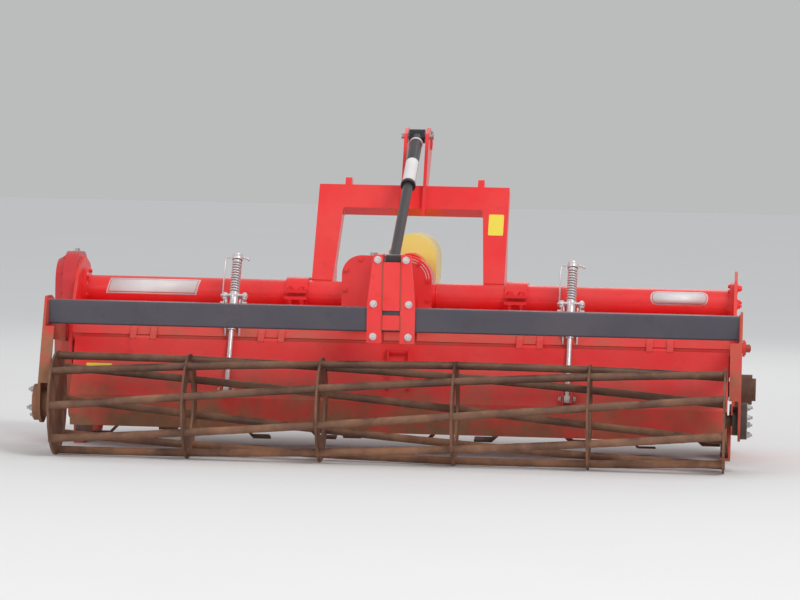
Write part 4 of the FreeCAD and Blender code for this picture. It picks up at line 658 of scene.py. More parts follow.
case_low, case_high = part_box("drive_case")
case_y = (case_low.y + case_high.y) / 2
low_half, top_half = CASE_LOW_HALF - CASE_RIM_IN, CASE_TOP_HALF - CASE_RIM_IN
case_outline = rounded_outline((
    (case_y - low_half, case_low.z + CASE_RIM_IN, low_half - CASE_FLAT),
    (case_y + low_half, case_low.z + CASE_RIM_IN, low_half - CASE_FLAT),
    (case_y + top_half, case_high.z - CASE_RIM_IN, top_half - CASE_FLAT),
    (case_y - top_half, case_high.z - CASE_RIM_IN, top_half - CASE_FLAT),
))
rim_face = case_low.x - CASE_RIM_THICK
case_places = [((rim_face, p.x, p.y), (-1, 0, 0)) for p in spaced(case_outline, CASE_BOLTS)]
painted_bolts("case_cover_bolts", case_places, across=0.010, finish=shaded_case_paint)
back_middle = (case_low.x - PLATE_OUT) / 2
bolts("case_plugs", "frame", (((back_middle, case_y, case_high.z), (0, 0, 1)),
                              ((back_middle, case_y, case_low.z), (0, 0, -1))))

# Rotor bearing
# A cast-iron hub that carries the right end of the rotor. Six bolts hold its flange outside the
# side plate, and it is painted dark and caked with soil.
CAST_TONES = ((0.034, 0.022, 0.017, 1), (0.060, 0.038, 0.026, 1), (0.020, 0.014, 0.012, 1))
HUB_FLANGE = 0.014
HUB_RING = 0.069
dark_cast = gloss_paint("dark_cast_iron", CAST_TONES, dust=0.6, low=0.05, high=0.5, roughness=0.6, coat=0.0)
paint_node(dark_cast, "rotor_bearing")
hub_low, hub_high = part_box("rotor_bearing")
hub_centre = Vector((PLATE_OUT + HUB_FLANGE, (hub_low.y + hub_high.y) / 2, (hub_low.z + hub_high.z) / 2))
hub_bolts = around(hub_centre, HUB_RING, RING_BOLTS, (1, 0, 0), first=0.3)
bolts("bearing_bolts", "frame", hub_bolts, across=0.013)

# Rotor and blades
# A heavy tube with welded flanges, each with six L-shaped blades of spring steel, polished by the
# soil at their tips and rusty at their roots. Two bolts and nuts hold each blade.
RUST = (0.16, 0.058, 0.022, 1)
BLADES = 6
FLANGES = 10
FLANGE_PITCH = 0.250
STAGGER = math.radians(22)
BLADE_BOLTS = (0.076, 0.100)
FLANGE_HALF = 0.005
BLADE_THICK = 0.008


def make_worn_steel(name, bright, dull, rusty, dust=0.8):
    """Bare steel with darker patches, rust and dried soil."""
    material, tree, shader, place = new_material(name)
    tone = blend_colours(tree, between(tree, noise(tree, place, 18, 6, 0.7), 0.35, 0.65), bright, dull)
    rust = between(tree, noise(tree, place, 9, 8, 0.68), 0.62 - rusty, 0.72 - rusty)
    tone = blend_colours(tree, rust, tone, RUST)
    cover = dusted(tree, shader, tone, 0.5, dust, 0.02, 0.5)
    bare = calculate(tree, "SUBTRACT", 0.85, rust, clamp=True)
    metal = calculate(tree, "SUBTRACT", bare, cover, clamp=True)
    tree.links.new(metal, shader.inputs["Metallic"])
    return material


worn_steel = make_worn_steel("worn_blade_steel", (0.42, 0.40, 0.38, 1), (0.20, 0.18, 0.165, 1), rusty=0.10)
soiled_steel = make_worn_steel("soil_caked_steel", (0.20, 0.135, 0.095, 1), (0.13, 0.075, 0.05, 1),
                               rusty=0.16, dust=1.0)
paint_node(worn_steel, "rotor_blades")
paint_node(soiled_steel, "rotor")
blade_bolts = []
for flange in range(FLANGES):
    x = FLANGE_PITCH * (flange - (FLANGES - 1) / 2)
    for blade in range(BLADES):
        hand = (1, -1)[blade % 2]
        turn = math.tau * blade / BLADES + STAGGER * flange
        for radius in BLADE_BOLTS:
            y, z = hub_centre.y - radius * math.sin(turn), hub_centre.z + radius * math.cos(turn)
            blade_bolts.append(((x + hand * (FLANGE_HALF + BLADE_THICK), y, z), (hand, 0, 0)))
            blade_bolts.append(((x - hand * FLANGE_HALF, y, z), (-hand, 0, 0)))
bolts("blade_bolts", "rotor", blade_bolts, across=0.015, shank=0.004, finish=soiled_steel)

# Hood
# A bent steel sheet over the rotor, closed at its ends by the side plates, with a guard rail along
# the front. A folded lip under its rear edge keeps the soil off the hinges of the board.
HINGE = Vector((0, -0.091, 0.415))
LIP_BACK = 0.0155
LIP_GAP = 0.001
LIP_SECTION = (
    # ahead, up
    (0.0, 0.019), (0.0, 0.0), (0.004, -0.010), (0.014, -0.016),
    (0.015, -0.014), (0.0065, -0.009), (0.0025, 0.0), (0.0025, 0.019),
)
HOOD_BENDS = (
    # ahead, up
    (-0.078, 0.434), (-0.016, 0.504), (0.062, 0.538), (0.306, 0.538), (0.439, 0.471),
)
hood_paint = gloss_paint("red_enamel_hood", RED_TONES, dust=0.5, low=0.36, high=0.55, roughness=0.36,
                         coat=0.25)
paint_node(hood_paint, "hood", "front_guard", "board_hinges")


def plate(name, body, outline, offset, material):
    """A flat sheet from an outline of points and the way of its thickness."""
    count = len(outline)
    points = [Vector(p) for p in outline] + [Vector(p) + Vector(offset) for p in outline]
    faces = [tuple(range(count)), tuple(range(count, 2 * count))]
    faces += [(n, (n + 1) % count, count + (n + 1) % count, count + n) for n in range(count)]
    fixed(mesh_of(name, points, faces, material), body)


lip_outline = [(-PLATE_IN + LIP_GAP, HINGE.y + LIP_BACK + y, HINGE.z + z) for y, z in LIP_SECTION]
plate("hood_lip", "frame", lip_outline, (2 * (PLATE_IN - LIP_GAP), 0, 0), hood_paint)
hood_ends = [[(side * PLATE_IN, y, z) for y, z in HOOD_BENDS] for side in (-1, 1)]
welds("hood_welds", "frame", hood_ends, radius=0.003, finish=hood_paint)

# Trailing board
# A folded sheet that hangs from four hinges behind the rotor and levels the soil. Its lower part
# is scoured and dusty, and a small blank yellow label sits just under its upper fold.
BAND_FOLD = Vector((0, -0.127, 0.345))
BELLY_FOLD = Vector((0, -0.208, 0.205))
BOARD_LABEL_LEFT = -1.203
BOARD_LABEL_WIDE = 0.099
BOARD_LABEL_TALL = 0.012
BOARD_LABEL_DOWN = 0.040
STICKER_THICK = 0.0005
STICKER_GAP = 0.0001
STICKER_STEPS = 5
board_paint = gloss_paint("red_enamel_board", RED_TONES, dust=1.0, low=0.10, high=0.36, roughness=0.4,
                          coat=0.2)
dustier_left(board_paint, left=1.1, right=0.7)
paint_node(board_paint, "trailing_board", "board_ears")
yellow_vinyl = plain_finish("yellow_vinyl", (0.92, 0.76, 0.05, 1), (0.84, 0.66, 0.08, 1), scale=40, detail=4,
                            roughness=0.4, dust=0.15, low=0.1, high=0.8)


def sticker(name, body, corner, along, up, material, radius):
    """A thin label with round corners, on the plane through its lower left corner."""
    corner, along, up = Vector(corner), Vector(along), Vector(up)
    out = along.cross(up).normalized()
    wide, tall = along.length, up.length
    across, high = along.normalized(), up.normalized()
    outline = []
    for x, y, first in ((radius, radius, 180), (wide - radius, radius, 270),
                        (wide - radius, tall - radius, 0), (radius, tall - radius, 90)):
        for step in range(STICKER_STEPS + 1):
            angle = math.radians(first + 90 * step / STICKER_STEPS)
            outline.append(corner + across * (x + radius * math.cos(angle))
                           + high * (y + radius * math.sin(angle)) + out * STICKER_GAP)
    plate(name, body, outline, out * STICKER_THICK, material)


sheet_up = (BAND_FOLD - BELLY_FOLD).normalized()
board_label_corner = (BOARD_LABEL_LEFT, *(BAND_FOLD - sheet_up * BOARD_LABEL_DOWN).yz)
sticker("board_label", "board", board_label_corner, (BOARD_LABEL_WIDE, 0, 0), sheet_up * BOARD_LABEL_TALL,
        yellow_vinyl, radius=0.003)

# Board's middle bracket
# Two tapered ribs are welded upright on the middle of the sheet, across its upper fold, and a
# short strap joins their tops.
RIB_TOP = Vector((0, -0.111, 0.405))
RIB_FOOT_DOWN = 0.112
RIB_APART = 0.080
RIB_THICK = 0.006
RIB_PROUD = 0.028
RIB_FOOT_PROUD = 0.014
STRAP_TALL = 0.014
STRAP_THICK = 0.004
band_out = (RIB_TOP - BAND_FOLD).cross(Vector((-1, 0, 0))).normalized()
sheet_out = sheet_up.cross(Vector((-1, 0, 0))).normalized()
band_down = (BAND_FOLD - RIB_TOP).normalized()
rib_foot = BAND_FOLD - sheet_up * RIB_FOOT_DOWN
rib_crest = RIB_TOP + band_out * RIB_PROUD
strap_seat = RIB_TOP + band_out * (RIB_PROUD - STRAP_THICK)
rib_outline = (
    RIB_TOP, BAND_FOLD, rib_foot, rib_foot + sheet_out * RIB_FOOT_PROUD,
    BAND_FOLD + (band_out + sheet_out).normalized() * RIB_PROUD, rib_crest,
)
strap_low = band_down * STRAP_TALL
strap_outline = (strap_seat, rib_crest, rib_crest + strap_low, strap_seat + strap_low)


def moved(points, x):
    """Points moved across the machine."""
    return [point + Vector((x, 0, 0)) for point in points]


rib_feet = []
for side, x in (("left", -RIB_APART / 2), ("right", RIB_APART / 2)):
    inner, outer = x - RIB_THICK / 2, x + RIB_THICK / 2
    plate("board_rib_" + side, "board", moved(rib_outline, inner), (RIB_THICK, 0, 0), board_paint)
    rib_feet += [moved(rib_outline[:3], inner), moved(rib_outline[:3], outer)]
plate("board_rib_strap", "board", moved(strap_outline, -RIB_APART / 2), (RIB_APART, 0, 0), board_paint)
welds("board_rib_welds", "board", rib_feet, radius=0.0025, finish=board_paint)

# Board's ear bolts
# A zinc-plated bolt with a nut holds the forked foot of each rod between the ears that are welded
# on the board.
ROD_PLACES = (("left", -0.650), ("right", 0.650))
EYE = Vector((0, -0.216, 0.235))
EAR_OUT = 0.023
ear_bolts = [((x + side * EAR_OUT, EYE.y, EYE.z), (side, 0, 0)) for _, x in ROD_PLACES for side in (-1, 1)]
bolts("ear_nuts", "board", ear_bolts, across=0.015)

# Board rods
# Two zinc-plated rods press the board down through coil springs. Each slides through a bush that
# swings between two ears on the hood, and its forked foot is pinned to the board. The spring
# stands on a cross plate, which also holds a bent keeper wire that reaches up to the cap.
GUIDE = Vector((0, -0.051, 0.550))
COIL_RADIUS = 0.0157
WIRE_RADIUS = 0.0037
COIL_TURNS = 14.5
COIL_FOOT = 0.0470
COIL_TOP = 0.1885
COIL_POINTS = 22
WIRE_SIDES = 8
COIL_STEPS = (
    # along the wire from and to, share of the height at its start and end
    (0.00, 0.07, 0.0, 0.022),
    (0.07, 0.93, 0.0, 0.956),
    (0.93, 1.00, 0.0, 0.022),
)
CAP_FOOT = 0.194
CAP_PROFILE = (
    # along, radius
    (0, 0.0125), (0, 0.0205), (0.004, 0.0215), (0.014, 0.0215), (0.018, 0.0195), (0.018, 0.0125),
    (0.026, 0.0125), (0.0275, 0.0105),
)
LEVER_WIRE = 0.0045
LEVER_PATH = (
    # across, along from the cap's foot
    (0.018, 0.010), (0.030, 0.010), (0.040, 0.008), (0.046, 0.0),
)
SEAT_FOOT = 0.036
SEAT_THICK = 0.007
SEAT_TOP = SEAT_FOOT + SEAT_THICK
SEAT_OUTLINE = (
    # across, ahead
    (-0.052, -0.010), (-0.046, -0.015), (0.044, -0.015), (0.050, -0.010),
    (0.050, 0.010), (0.044, 0.015), (-0.046, 0.015), (-0.052, 0.010),
)
SEAT_BOLTS = (-0.036, 0.040)
KEEPER_WIRE = 0.0030
KEEPER_BEND = 0.016
BEND_STEPS = 5
KEEPER_PATH = (
    # across, along from the guide
    (-0.0275, CAP_FOOT + 0.010), (-0.046, CAP_FOOT + 0.012), (-0.046, SEAT_FOOT),
)
SADDLE_PROFILE = (
    # along, radius
    (0.0105, 0.0115), (0.0105, 0.0165), (0.0300, 0.0165), (SEAT_FOOT, 0.0185),
    (SEAT_TOP, 0.0210), (COIL_FOOT, 0.0210), (COIL_FOOT, 0.0115),
)
TRUNNION_OUT = 0.0345
TRUNNION_PROFILE = (
    # along, radius
    (0, 0.0075), (0, 0.0220), (0.0035, 0.0220), (0.0040, 0.0160), (0.0160, 0.0160),
    (0.0175, 0.0130), (0.0175, 0.0080), (0.0240, 0.0080),
)
rod_way = (GUIDE - EYE).normalized()
rod_ahead = Vector((0, rod_way.z, -rod_way.y))
bright_zinc = make_zinc("spring_zinc", (0.88, 0.84, 0.85, 1), (0.66, 0.58, 0.58, 1), dust=0.2, metal=0.45)
paint_node(bright_zinc, "board_rod_left", "board_rod_right", "rod_guides", "rod_bush_left", "rod_bush_right")


def make_coil_tree():
    """A compression spring of round wire with closed ends, standing at a point and leaning."""
    tree, given, result = new_group("coil spring", "Geometry", (
        ("Start", "Geometry"), ("Turns", "Float", COIL_TURNS), ("Radius", "Float", COIL_RADIUS),
        ("Wire", "Float", WIRE_RADIUS), ("Length", "Float", COIL_TOP - COIL_FOOT),
        ("Foot", "Vector"), ("Way", "Vector"), ("Finish", "Material"),
    ), (("Spring", "Geometry"),))
    rings = result_of(tree, "GeometryNodeCurveSpiral", {
        "Resolution": COIL_POINTS, "Rotations": given["Turns"], "Start Radius": given["Radius"],
        "End Radius": given["Radius"], "Height": given["Length"]})
    along = add_node(tree, "GeometryNodeSplineParameter").outputs["Factor"]
    here = result_of(tree, "GeometryNodeInputPosition")
    place = add_node(tree, "ShaderNodeSeparateXYZ", {0: here}).outputs
    rise = 0.0
    for start, end, low, high in COIL_STEPS:
        rise = calculate(tree, "ADD", between(tree, along, start, end, low, high), rise)
    tall = calculate(tree, "MULTIPLY", rise, given["Length"])
    shaped = result_of(tree, "ShaderNodeCombineXYZ", {"X": place["X"], "Y": place["Y"], "Z": tall})
    coil = result_of(tree, "GeometryNodeSetPosition", {"Geometry": rings, "Position": shaped})
    turn = result_of(tree, "FunctionNodeAlignEulerToVector", {"Vector": given["Way"]}, axis="Z")
    wire = bar_along(tree, coil, WIRE_SIDES, given["Wire"])
    stood = result_of(tree, "GeometryNodeTransform", {
        "Geometry": wire, "Translation": given["Foot"], "Rotation": turn})
    return close_tree(tree, stood, given, result)


coil_tree = make_coil_tree()


def bands(count, sides, closed=False, first=0):
    """Faces between rings of points; a row of rings that doesn't close gets a cap at each end."""
    faces = []
    for ring in range(count if closed else count - 1):
        a, b = first + ring * sides, first + (ring + 1) % count * sides
        faces += [(a + n, a + (n + 1) % sides, b + (n + 1) % sides, b + n) for n in range(sides)]
    if not closed:
        last = first + (count - 1) * sides
        faces += [tuple(range(first, first + sides)), tuple(range(last, last + sides))]
    return faces


def turned(name, body, profile, start, way, material, slot="zinc", sides=24):
    """A turned piece from a profile of (distance along, radius), from a start along a way."""
    way = Vector(way).normalized()
    points = []
    for along, radius in profile:
        points += circle(Vector(start) + way * along, radius, way, sides)
    piece = mesh_of(name, points, bands(len(profile), sides), material, smooth=True, creased=True)
    return fixed(piece, body)


def wire_piece(name, body, path, radius, material, sides=WIRE_SIDES):
    """Round wire along a path of points; a path that ends where it starts is closed."""
    path = [Vector(p) for p in path]
    closed = (path[0] - path[-1]).length < SAME_POINT
    if closed:
        path.pop()
    count = len(path)
    points, last = [], None
    for n, point in enumerate(path):
        back = path[n - 1] if n or closed else point
        ahead = path[(n + 1) % count] if n < count - 1 or closed else point
        way = (ahead - back).normalized()
        side = way.orthogonal() if last is None else last - way * last.dot(way)
        last = side.normalized()
        points += [point + Quaternion(way, math.tau * step / sides) @ last * radius
                   for step in range(sides)]
    fixed(mesh_of(name, points, bands(count, sides, closed), material, smooth=True), body)


def rounded_path(corners, radius):
    """A path through corners with its bends rounded."""
    path = [corners[0]]
    for before, corner, after in zip(corners, corners[1:], corners[2:]):
        start = corner + (before - corner).normalized() * radius
        end = corner + (after - corner).normalized() * radius
        for step in range(BEND_STEPS + 1):
            share = step / BEND_STEPS
            path.append(start.lerp(corner, share).lerp(corner.lerp(end, share), share))
    return path + [corners[-1]]


def on_rod(guide, across, along, ahead=0.0):
    """The point beside a rod, from the middle of its guide."""
    return guide + rod_way * along + Vector((across, 0, 0)) + rod_ahead * ahead


for name, x in ROD_PLACES:
    guide = Vector((x, GUIDE.y, GUIDE.z))
    rod, bush = "rod_" + name, "bush_" + name
    coil_foot = on_rod(guide, 0, COIL_FOOT)
    coil = grown("rod_coil_" + name, coil_tree, Foot=coil_foot, Way=rod_way, Finish=bright_zinc)
    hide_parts("rod_spring_" + name)
    fixed(coil, bush)
    cap = on_rod(guide, 0, CAP_FOOT)
    turned("rod_cap_" + name, rod, CAP_PROFILE, cap, rod_way, bright_zinc)
    lever = [on_rod(cap, across, along) for across, along in LEVER_PATH]
    wire_piece("rod_lever_" + name, rod, lever, LEVER_WIRE, bright_zinc)
    keeper = rounded_path([on_rod(guide, across, along) for across, along in KEEPER_PATH], KEEPER_BEND)
    wire_piece("rod_keeper_" + name, bush, keeper, KEEPER_WIRE, bright_zinc)
    turned("rod_saddle_" + name, bush, SADDLE_PROFILE, guide, rod_way, bright_zinc)
    seat = [on_rod(guide, across, SEAT_FOOT, ahead) for across, ahead in SEAT_OUTLINE]
    plate("rod_seat_" + name, bush, seat, rod_way * SEAT_THICK, bright_zinc)
    seat_bolts = [(on_rod(guide, across, along), rod_way * way)
                  for across in SEAT_BOLTS for along, way in ((SEAT_TOP, 1), (SEAT_FOOT, -1))]
    bolts("seat_bolts_" + name, bush, seat_bolts, across=0.016, shank=0.002, finish=bright_zinc)
    for side, hand in ((-1, "left"), (1, "right")):
        ear = on_rod(guide, side * TRUNNION_OUT, 0)
        turned(f"trunnion_nut_{name}_{hand}", bush, TRUNNION_PROFILE, ear, (side, 0, 0), bright_zinc)

# Gearbox
# A cast-iron box in the middle, with a thick cover plate at the back, painted over its bolts. Two
# pale arcs follow the cover's top right corner. A filler plug and a breather stand on its top.
COVER_LEFT, COVER_RIGHT = -0.231, 0.115
COVER_LOW, COVER_TOP = 0.480, 0.756
COVER_BACK = -0.066
COVER_RIM = 0.014
COVER_ROUND = 0.090
CASTING_FRONT = 0.254
PALE_TONES = ((0.78, 0.42, 0.40, 1), (0.70, 0.30, 0.28, 1), RED)
PALE_RADII = (0.0800, 0.0700)
PALE_FROM, PALE_TURN = -4, 98
PALE_STEPS = 24
LID = COVER_TOP - 0.0145
FILLER_PROFILE = (
    # along, radius
    (0, 0.021), (0.004, 0.021), (0.005, 0.015), (0.020, 0.015), (0.022, 0.013),
)
BREATHER_PROFILE = (
    # along, radius
    (0, 0.010), (0.012, 0.010), (0.0125, 0.014), (0.026, 0.014), (0.030, 0.009),
)
FILLER_PLACE = (-0.120, 0.060, LID)
BREATHER_PLACE = (-0.060, 0.180, LID)
SHAFT = Vector((0, 0.389, 0.690))
NOSE_FACE = 0.344
NOSE_RING = 0.059
HOUSING_REACH = 0.078
cast_paint = gloss_paint("red_cast_iron", RED_TONES, dust=0.3, low=0.3, high=0.6, roughness=0.34, coat=0.3)
paint_node(cast_paint, "gearbox_cover", "gearbox_case", "input_housing")


def cover_line(count, inside, low, rounds, face, way):
    """Places on a line inside the cover's edge, with its rounds at the foot, top right and top left."""
    left, right, top = COVER_LEFT + inside, COVER_RIGHT - inside, COVER_TOP - inside
    outline = rounded_outline(((left, low, rounds[0]), (right, low, rounds[0]),
                               (right, top, rounds[1]), (left, top, rounds[2])))
    return [(Vector((p.x, face, p.y)), (0, way, 0)) for p in spaced(outline, count)]


cover_places = cover_line(14, inside=COVER_RIM, low=COVER_LOW + COVER_RIM, rounds=(0.016, 0.076, 0.061),
                          face=COVER_BACK, way=-1)
painted_bolts("gearbox_cover_bolts", cover_places, across=0.013, finish=cast_paint)
pale_arc_paint = gloss_paint("pale_cover_arcs", PALE_TONES, dust=0.2)
pale_angles = [math.radians(PALE_FROM + PALE_TURN * n / PALE_STEPS) for n in range(PALE_STEPS + 1)]
pale_arcs = [[(COVER_RIGHT - COVER_ROUND + radius * math.cos(angle), COVER_BACK,
               COVER_TOP - COVER_ROUND + radius * math.sin(angle)) for angle in pale_angles]
             for radius in PALE_RADII]
welds("cover_rim", "frame", pale_arcs, radius=0.0022, finish=pale_arc_paint)
turned("oil_filler", "frame", FILLER_PROFILE, FILLER_PLACE, (0, 0, 1), zinc_plate)
turned("oil_breather", "frame", BREATHER_PROFILE, BREATHER_PLACE, (0, 0, 1), zinc_plate)
nose_places = around((0, NOSE_FACE, SHAFT.z), NOSE_RING, RING_BOLTS, (0, 1, 0), first=0.5)
painted_bolts("nose_bolts", nose_places, across=0.010, finish=cast_paint)
casting_places = cover_line(12, inside=0.032, low=0.557, rounds=(0.014, 0.060, 0.050),
                            face=CASTING_FRONT, way=1)
# the input housing leaves no room for the bolts next to it
casting_places = [(p, way) for p, way in casting_places if (p.xz - SHAFT.xz).length > HOUSING_REACH]
painted_bolts("casting_bolts", casting_places, across=0.013, finish=cast_paint)

# Input shaft
# A machined, splined steel shaft that drives the gearbox, inside a yellow plastic cone that four
# screws hold on the input housing.
GUARD_SCREWS = 4
GUARD_RING = 0.038
GUARD_FACE = 0.393
machined = make_worn_steel("machined_steel", (0.55, 0.54, 0.52, 1), (0.38, 0.37, 0.35, 1),
                           rusty=-0.1, dust=0.3)
paint_node(machined, "input_shaft")
yellow_plastic = plain_finish("yellow_guard_plastic", (0.92, 0.78, 0.13, 1), (0.88, 0.78, 0.26, 1), scale=9,
                              detail=4, roughness=0.28, dust=0.12, low=0.5, high=0.8)
paint_node(yellow_plastic, "shaft_guard")
guard_places = around((0, GUARD_FACE, SHAFT.z), GUARD_RING, GUARD_SCREWS, (0, 1, 0), first=0.6)
bolts("guard_screws", "frame", guard_places, across=0.010)

# Hitch frame
# A portal cut from thick plate that leans forward over the gearbox, braced by gussets in front of
# its legs, with the mast's two plates on its crossbar.
FRAME_FOOT = Vector((0, 0.206, 0.600))
FRAME_HEAD = Vector((0, 0.448, 1.003))
FRAME_HALF_DEEP = 0.030
FRAME_LABEL_PLACE = (0.302, 0.832)
FRAME_LABEL_WIDE = 0.059
FRAME_LABEL_TALL = 0.094
LEG_SEAM = (0.377, 0.300)
LEG_SEAM_UP = 0.648
STRUT_TOP = Vector((0, 0.502, 1.214))
STRUT_FOOT = Vector((0, -0.416, 0.747))
LINK = Vector((0, 0.586, 1.184))
LINK_BORE = 0.0130
LINK_RIM = 0.0240
RING_TALL = 0.005
MAST_IN, MAST_OUT = 0.036, 0.049
MAST_SEAM_UP = (0.925, 1.015)
STRUT_PIN_END = 0.057
FOOT_PIN_END = 0.052
CLIP_UP, CLIP_DOWN = 0.021, 0.022
CLIP_WIRE = 0.0035
CLIP_RING = 0.0185
CLIP_RING_OFF = Vector((0.006, 0, 0.003))
CLIP_RING_AXIS = (1, 0, 0.12)
CLIP_RING_POINTS = 28
CLIP_RING_WIRE = 0.0016
paint_node(red_paint, "hitch_frame", "mast_plates")
paint_node(zinc_plate, "strut_pin", "strut_foot_pin")
frame_way = (FRAME_HEAD - FRAME_FOOT).normalized()
frame_back = Vector((0, -frame_way.z, frame_way.y))


def on_frame(x, z):
    """The point of the portal's rear face at a height."""
    foot = FRAME_FOOT + frame_back * FRAME_HALF_DEEP
    return Vector((x, foot.y, foot.z)) + frame_way * (z - foot.z) / frame_way.z


sticker("frame_label", "frame", on_frame(*FRAME_LABEL_PLACE), (FRAME_LABEL_WIDE, 0, 0),
        frame_way * FRAME_LABEL_TALL, yellow_vinyl, radius=0.005)
foot_paths = [[on_frame(side * x, LEG_SEAM_UP) for x in LEG_SEAM] for side in (-1, 1)]
welds("frame_foot_welds", "frame", foot_paths)


def rings(name, body, places, inner, outer, tall, material, slot="red_paint", sides=32):
    """Flat rings, one at each place (point, direction), standing on it."""
    points, faces = [], []
    for point, way in places:
        way = Vector(way)
        faces += bands(4, sides, True, len(points))
        for radius, along in ((inner, 0), (outer, 0), (outer, tall), (inner, tall)):
            points += circle(Vector(point) + way * along, radius, way, sides)
    return fixed(mesh_of(name, points, faces, material, smooth=True, creased=True), body)


link_places = [((side * MAST_OUT, LINK.y, LINK.z), (side, 0, 0)) for side in (-1, 1)]
rings("link_bushes", "frame", link_places, LINK_BORE, LINK_RIM, RING_TALL, red_paint)


def linch_pin(name, body, pin_end):
    """A cross pin through the end of a large pin, with its sprung ring."""
    cross = [pin_end + Vector((0, 0, CLIP_UP)), pin_end - Vector((0, 0, CLIP_DOWN))]
    wire_piece(name, body, cross, CLIP_WIRE, zinc_plate)
    ring = circle(pin_end + CLIP_RING_OFF, CLIP_RING, CLIP_RING_AXIS, CLIP_RING_POINTS)
    wire_piece(name + "_ring", body, looped(ring), CLIP_RING_WIRE, zinc_plate, sides=6)


linch_pin("strut_pin_clip", "frame", STRUT_TOP + Vector((STRUT_PIN_END, 0, 0)))
linch_pin("foot_pin_clip", "roller_frame", STRUT_FOOT + Vector((FOOT_PIN_END, 0, 0)))
mast_paths = [[on_frame(side * face, up) for up in MAST_SEAM_UP]
              for side in (-1, 1) for face in (MAST_IN, MAST_OUT)]
welds("mast_welds", "frame", mast_paths, radius=0.003)

# Lower hitch
# Two forked brackets of steel plate, welded to half shells that two bolts each clamp round the
# main tube. A bored bush is welded to each face of a fork.
LOWER_BUSH = Vector((0, 0.682, 0.575))
LOWER_BORE = 0.0145
LOWER_RIM = 0.0260
FORK_FACES = (
    # across, way out
    (0.385, -1), (0.399, 1), (0.457, -1), (0.471, 1),
)
CLAMP_EARS = (0.405, 0.450)
EAR_TOP, EAR_LOW = 0.610, 0.572
EAR_BACK = 0.112
paint_node(red_paint, "lower_hitch_left", "lower_hitch_right", "hitch_clamp_left", "hitch_clamp_right")
bush_places = [((side * x, LOWER_BUSH.y, LOWER_BUSH.z), (side * way, 0, 0))
               for side in (-1, 1) for x, way in FORK_FACES]
rings("lower_bushes", "frame", bush_places, LOWER_BORE, LOWER_RIM, RING_TALL, red_paint)
for name, z, way, shank in (("clamp_bolts", EAR_TOP, 1, 0.002), ("clamp_nuts", EAR_LOW, -1, 0.012)):
    places = [((side * x, EAR_BACK, z), (0, 0, way)) for side in (-1, 1) for x in CLAMP_EARS]
    painted_bolts(name, places, across=0.019, shank=shank)

# Skids
# Bent flat bars inside the side plates, held by bolts through the plates. They slide along the
# ground and limit how deep the blades go.
SKID_BOLTS = (
    # side, ahead, up
    (-1, 0.000, 0.150), (-1, 0.385, 0.150), (-1, 0.455, 0.165),
    (1, 0.030, 0.150), (1, 0.185, 0.140), (1, 0.340, 0.150), (1, 0.455, 0.165),
)
paint_node(red_paint_low, "skid_left", "skid_right")
skid_places = [((side * PLATE_OUT, y, z), (side, 0, 0)) for side, y, z in SKID_BOLTS]
bolts("skid_bolts", "frame", skid_places, across=0.017)

# Roller frame
# Two arms that pivot on the side plates, joined by a square beam, with a bracket in the middle
# for the strut's foot and a bearing for the roller at each end. Studs clamp the bracket's two
# halves round the beam.
BEAM_MIDDLE = Vector((0, -0.436, 0.532))
BEAM_HALF = 0.045
BRACKET_BACK = -0.491
BRACKET_FRONT = -0.381
BRACKET_SEAM_OUT = 0.034
BRACKET_SEAMS = ((0.568, 0.748), (0.495, 0.550))
ARM_IN = 1.296
STUDS = ((0.062, 0.592), (0.066, 0.470))
STUD_RADIUS = 0.0065
STUD_IN = 0.004
BRACKET_BOLTS = ((0.053, 0.757), (0.066, 0.592), (0.066, 0.470))
ROLLER_AXIS = Vector((0, -0.529, 0.195))
BEARING_OUT = 1.329
BEARING_RING = 0.052
BEARING_BOLTS = 4
PIVOT = Vector((0, -0.044, 0.435))
SLATE_TONES = ((0.062, 0.058, 0.078, 1), (0.078, 0.070, 0.090, 1), (0.045, 0.040, 0.055, 1))
ARM_TONES = (RED_DEEP, (0.50, 0.05, 0.035, 1), (0.30, 0.045, 0.03, 1))
BEARING_TONES = ((0.028, 0.027, 0.028, 1), (0.045, 0.040, 0.038, 1), (0.016, 0.015, 0.015, 1))
slate_paint = gloss_paint("slate_enamel", SLATE_TONES, dust=0.10, low=0.15, high=0.62, roughness=0.48)
arm_paint = gloss_paint("red_enamel_arm", ARM_TONES, dust=1.25, low=0.15, high=0.9, roughness=0.5, coat=0.1)
dustier_left(arm_paint, left=1.3, right=0.75)
dark_bearing = gloss_paint("dark_bearing_iron", BEARING_TONES, dust=0.45, low=0.05, high=0.45, roughness=0.5,
                           coat=0.0)
dustier_left(dark_bearing, left=1.4, right=0.25)
paint_node(slate_paint, "roller_beam")
paint_node(arm_paint, "roller_arm_left", "roller_arm_right")
paint_node(red_paint, "centre_brackets")
paint_node(dark_bearing, "roller_bearings")
bracket_bolts, bracket_nuts, bracket_paths, beam_paths = [], [], [], []
for side, name in ((-1, "left"), (1, "right")):
    bracket_bolts += [((side * x, BRACKET_BACK, z), (0, -1, 0)) for x, z in BRACKET_BOLTS]
    bracket_nuts += [((side * x, BRACKET_FRONT, z), (0, 1, 0)) for x, z in STUDS]
    for x, z in STUDS:
        stud = [(side * x, y, z) for y in (BRACKET_BACK + STUD_IN, BRACKET_FRONT - STUD_IN)]
        wire_piece(f"bracket_stud_{name}_{round(z * 1000)}", "roller_frame", stud, STUD_RADIUS, zinc_plate)
    bracket_paths += [[(side * BRACKET_SEAM_OUT, BRACKET_BACK, z) for z in seam] for seam in BRACKET_SEAMS]
    beam_paths.append([(side * ARM_IN, BEAM_MIDDLE.y + BEAM_HALF * y, BEAM_MIDDLE.z + BEAM_HALF * z)
                       for y, z in ((-1, -1), (1, -1), (1, 1), (-1, 1), (-1, -1))])
bolts("bracket_bolts", "roller_frame", bracket_bolts, across=0.016, shank=0.003, finish=bright_zinc)
bolts("bracket_nuts", "roller_frame", bracket_nuts, across=0.019, shank=0.010)
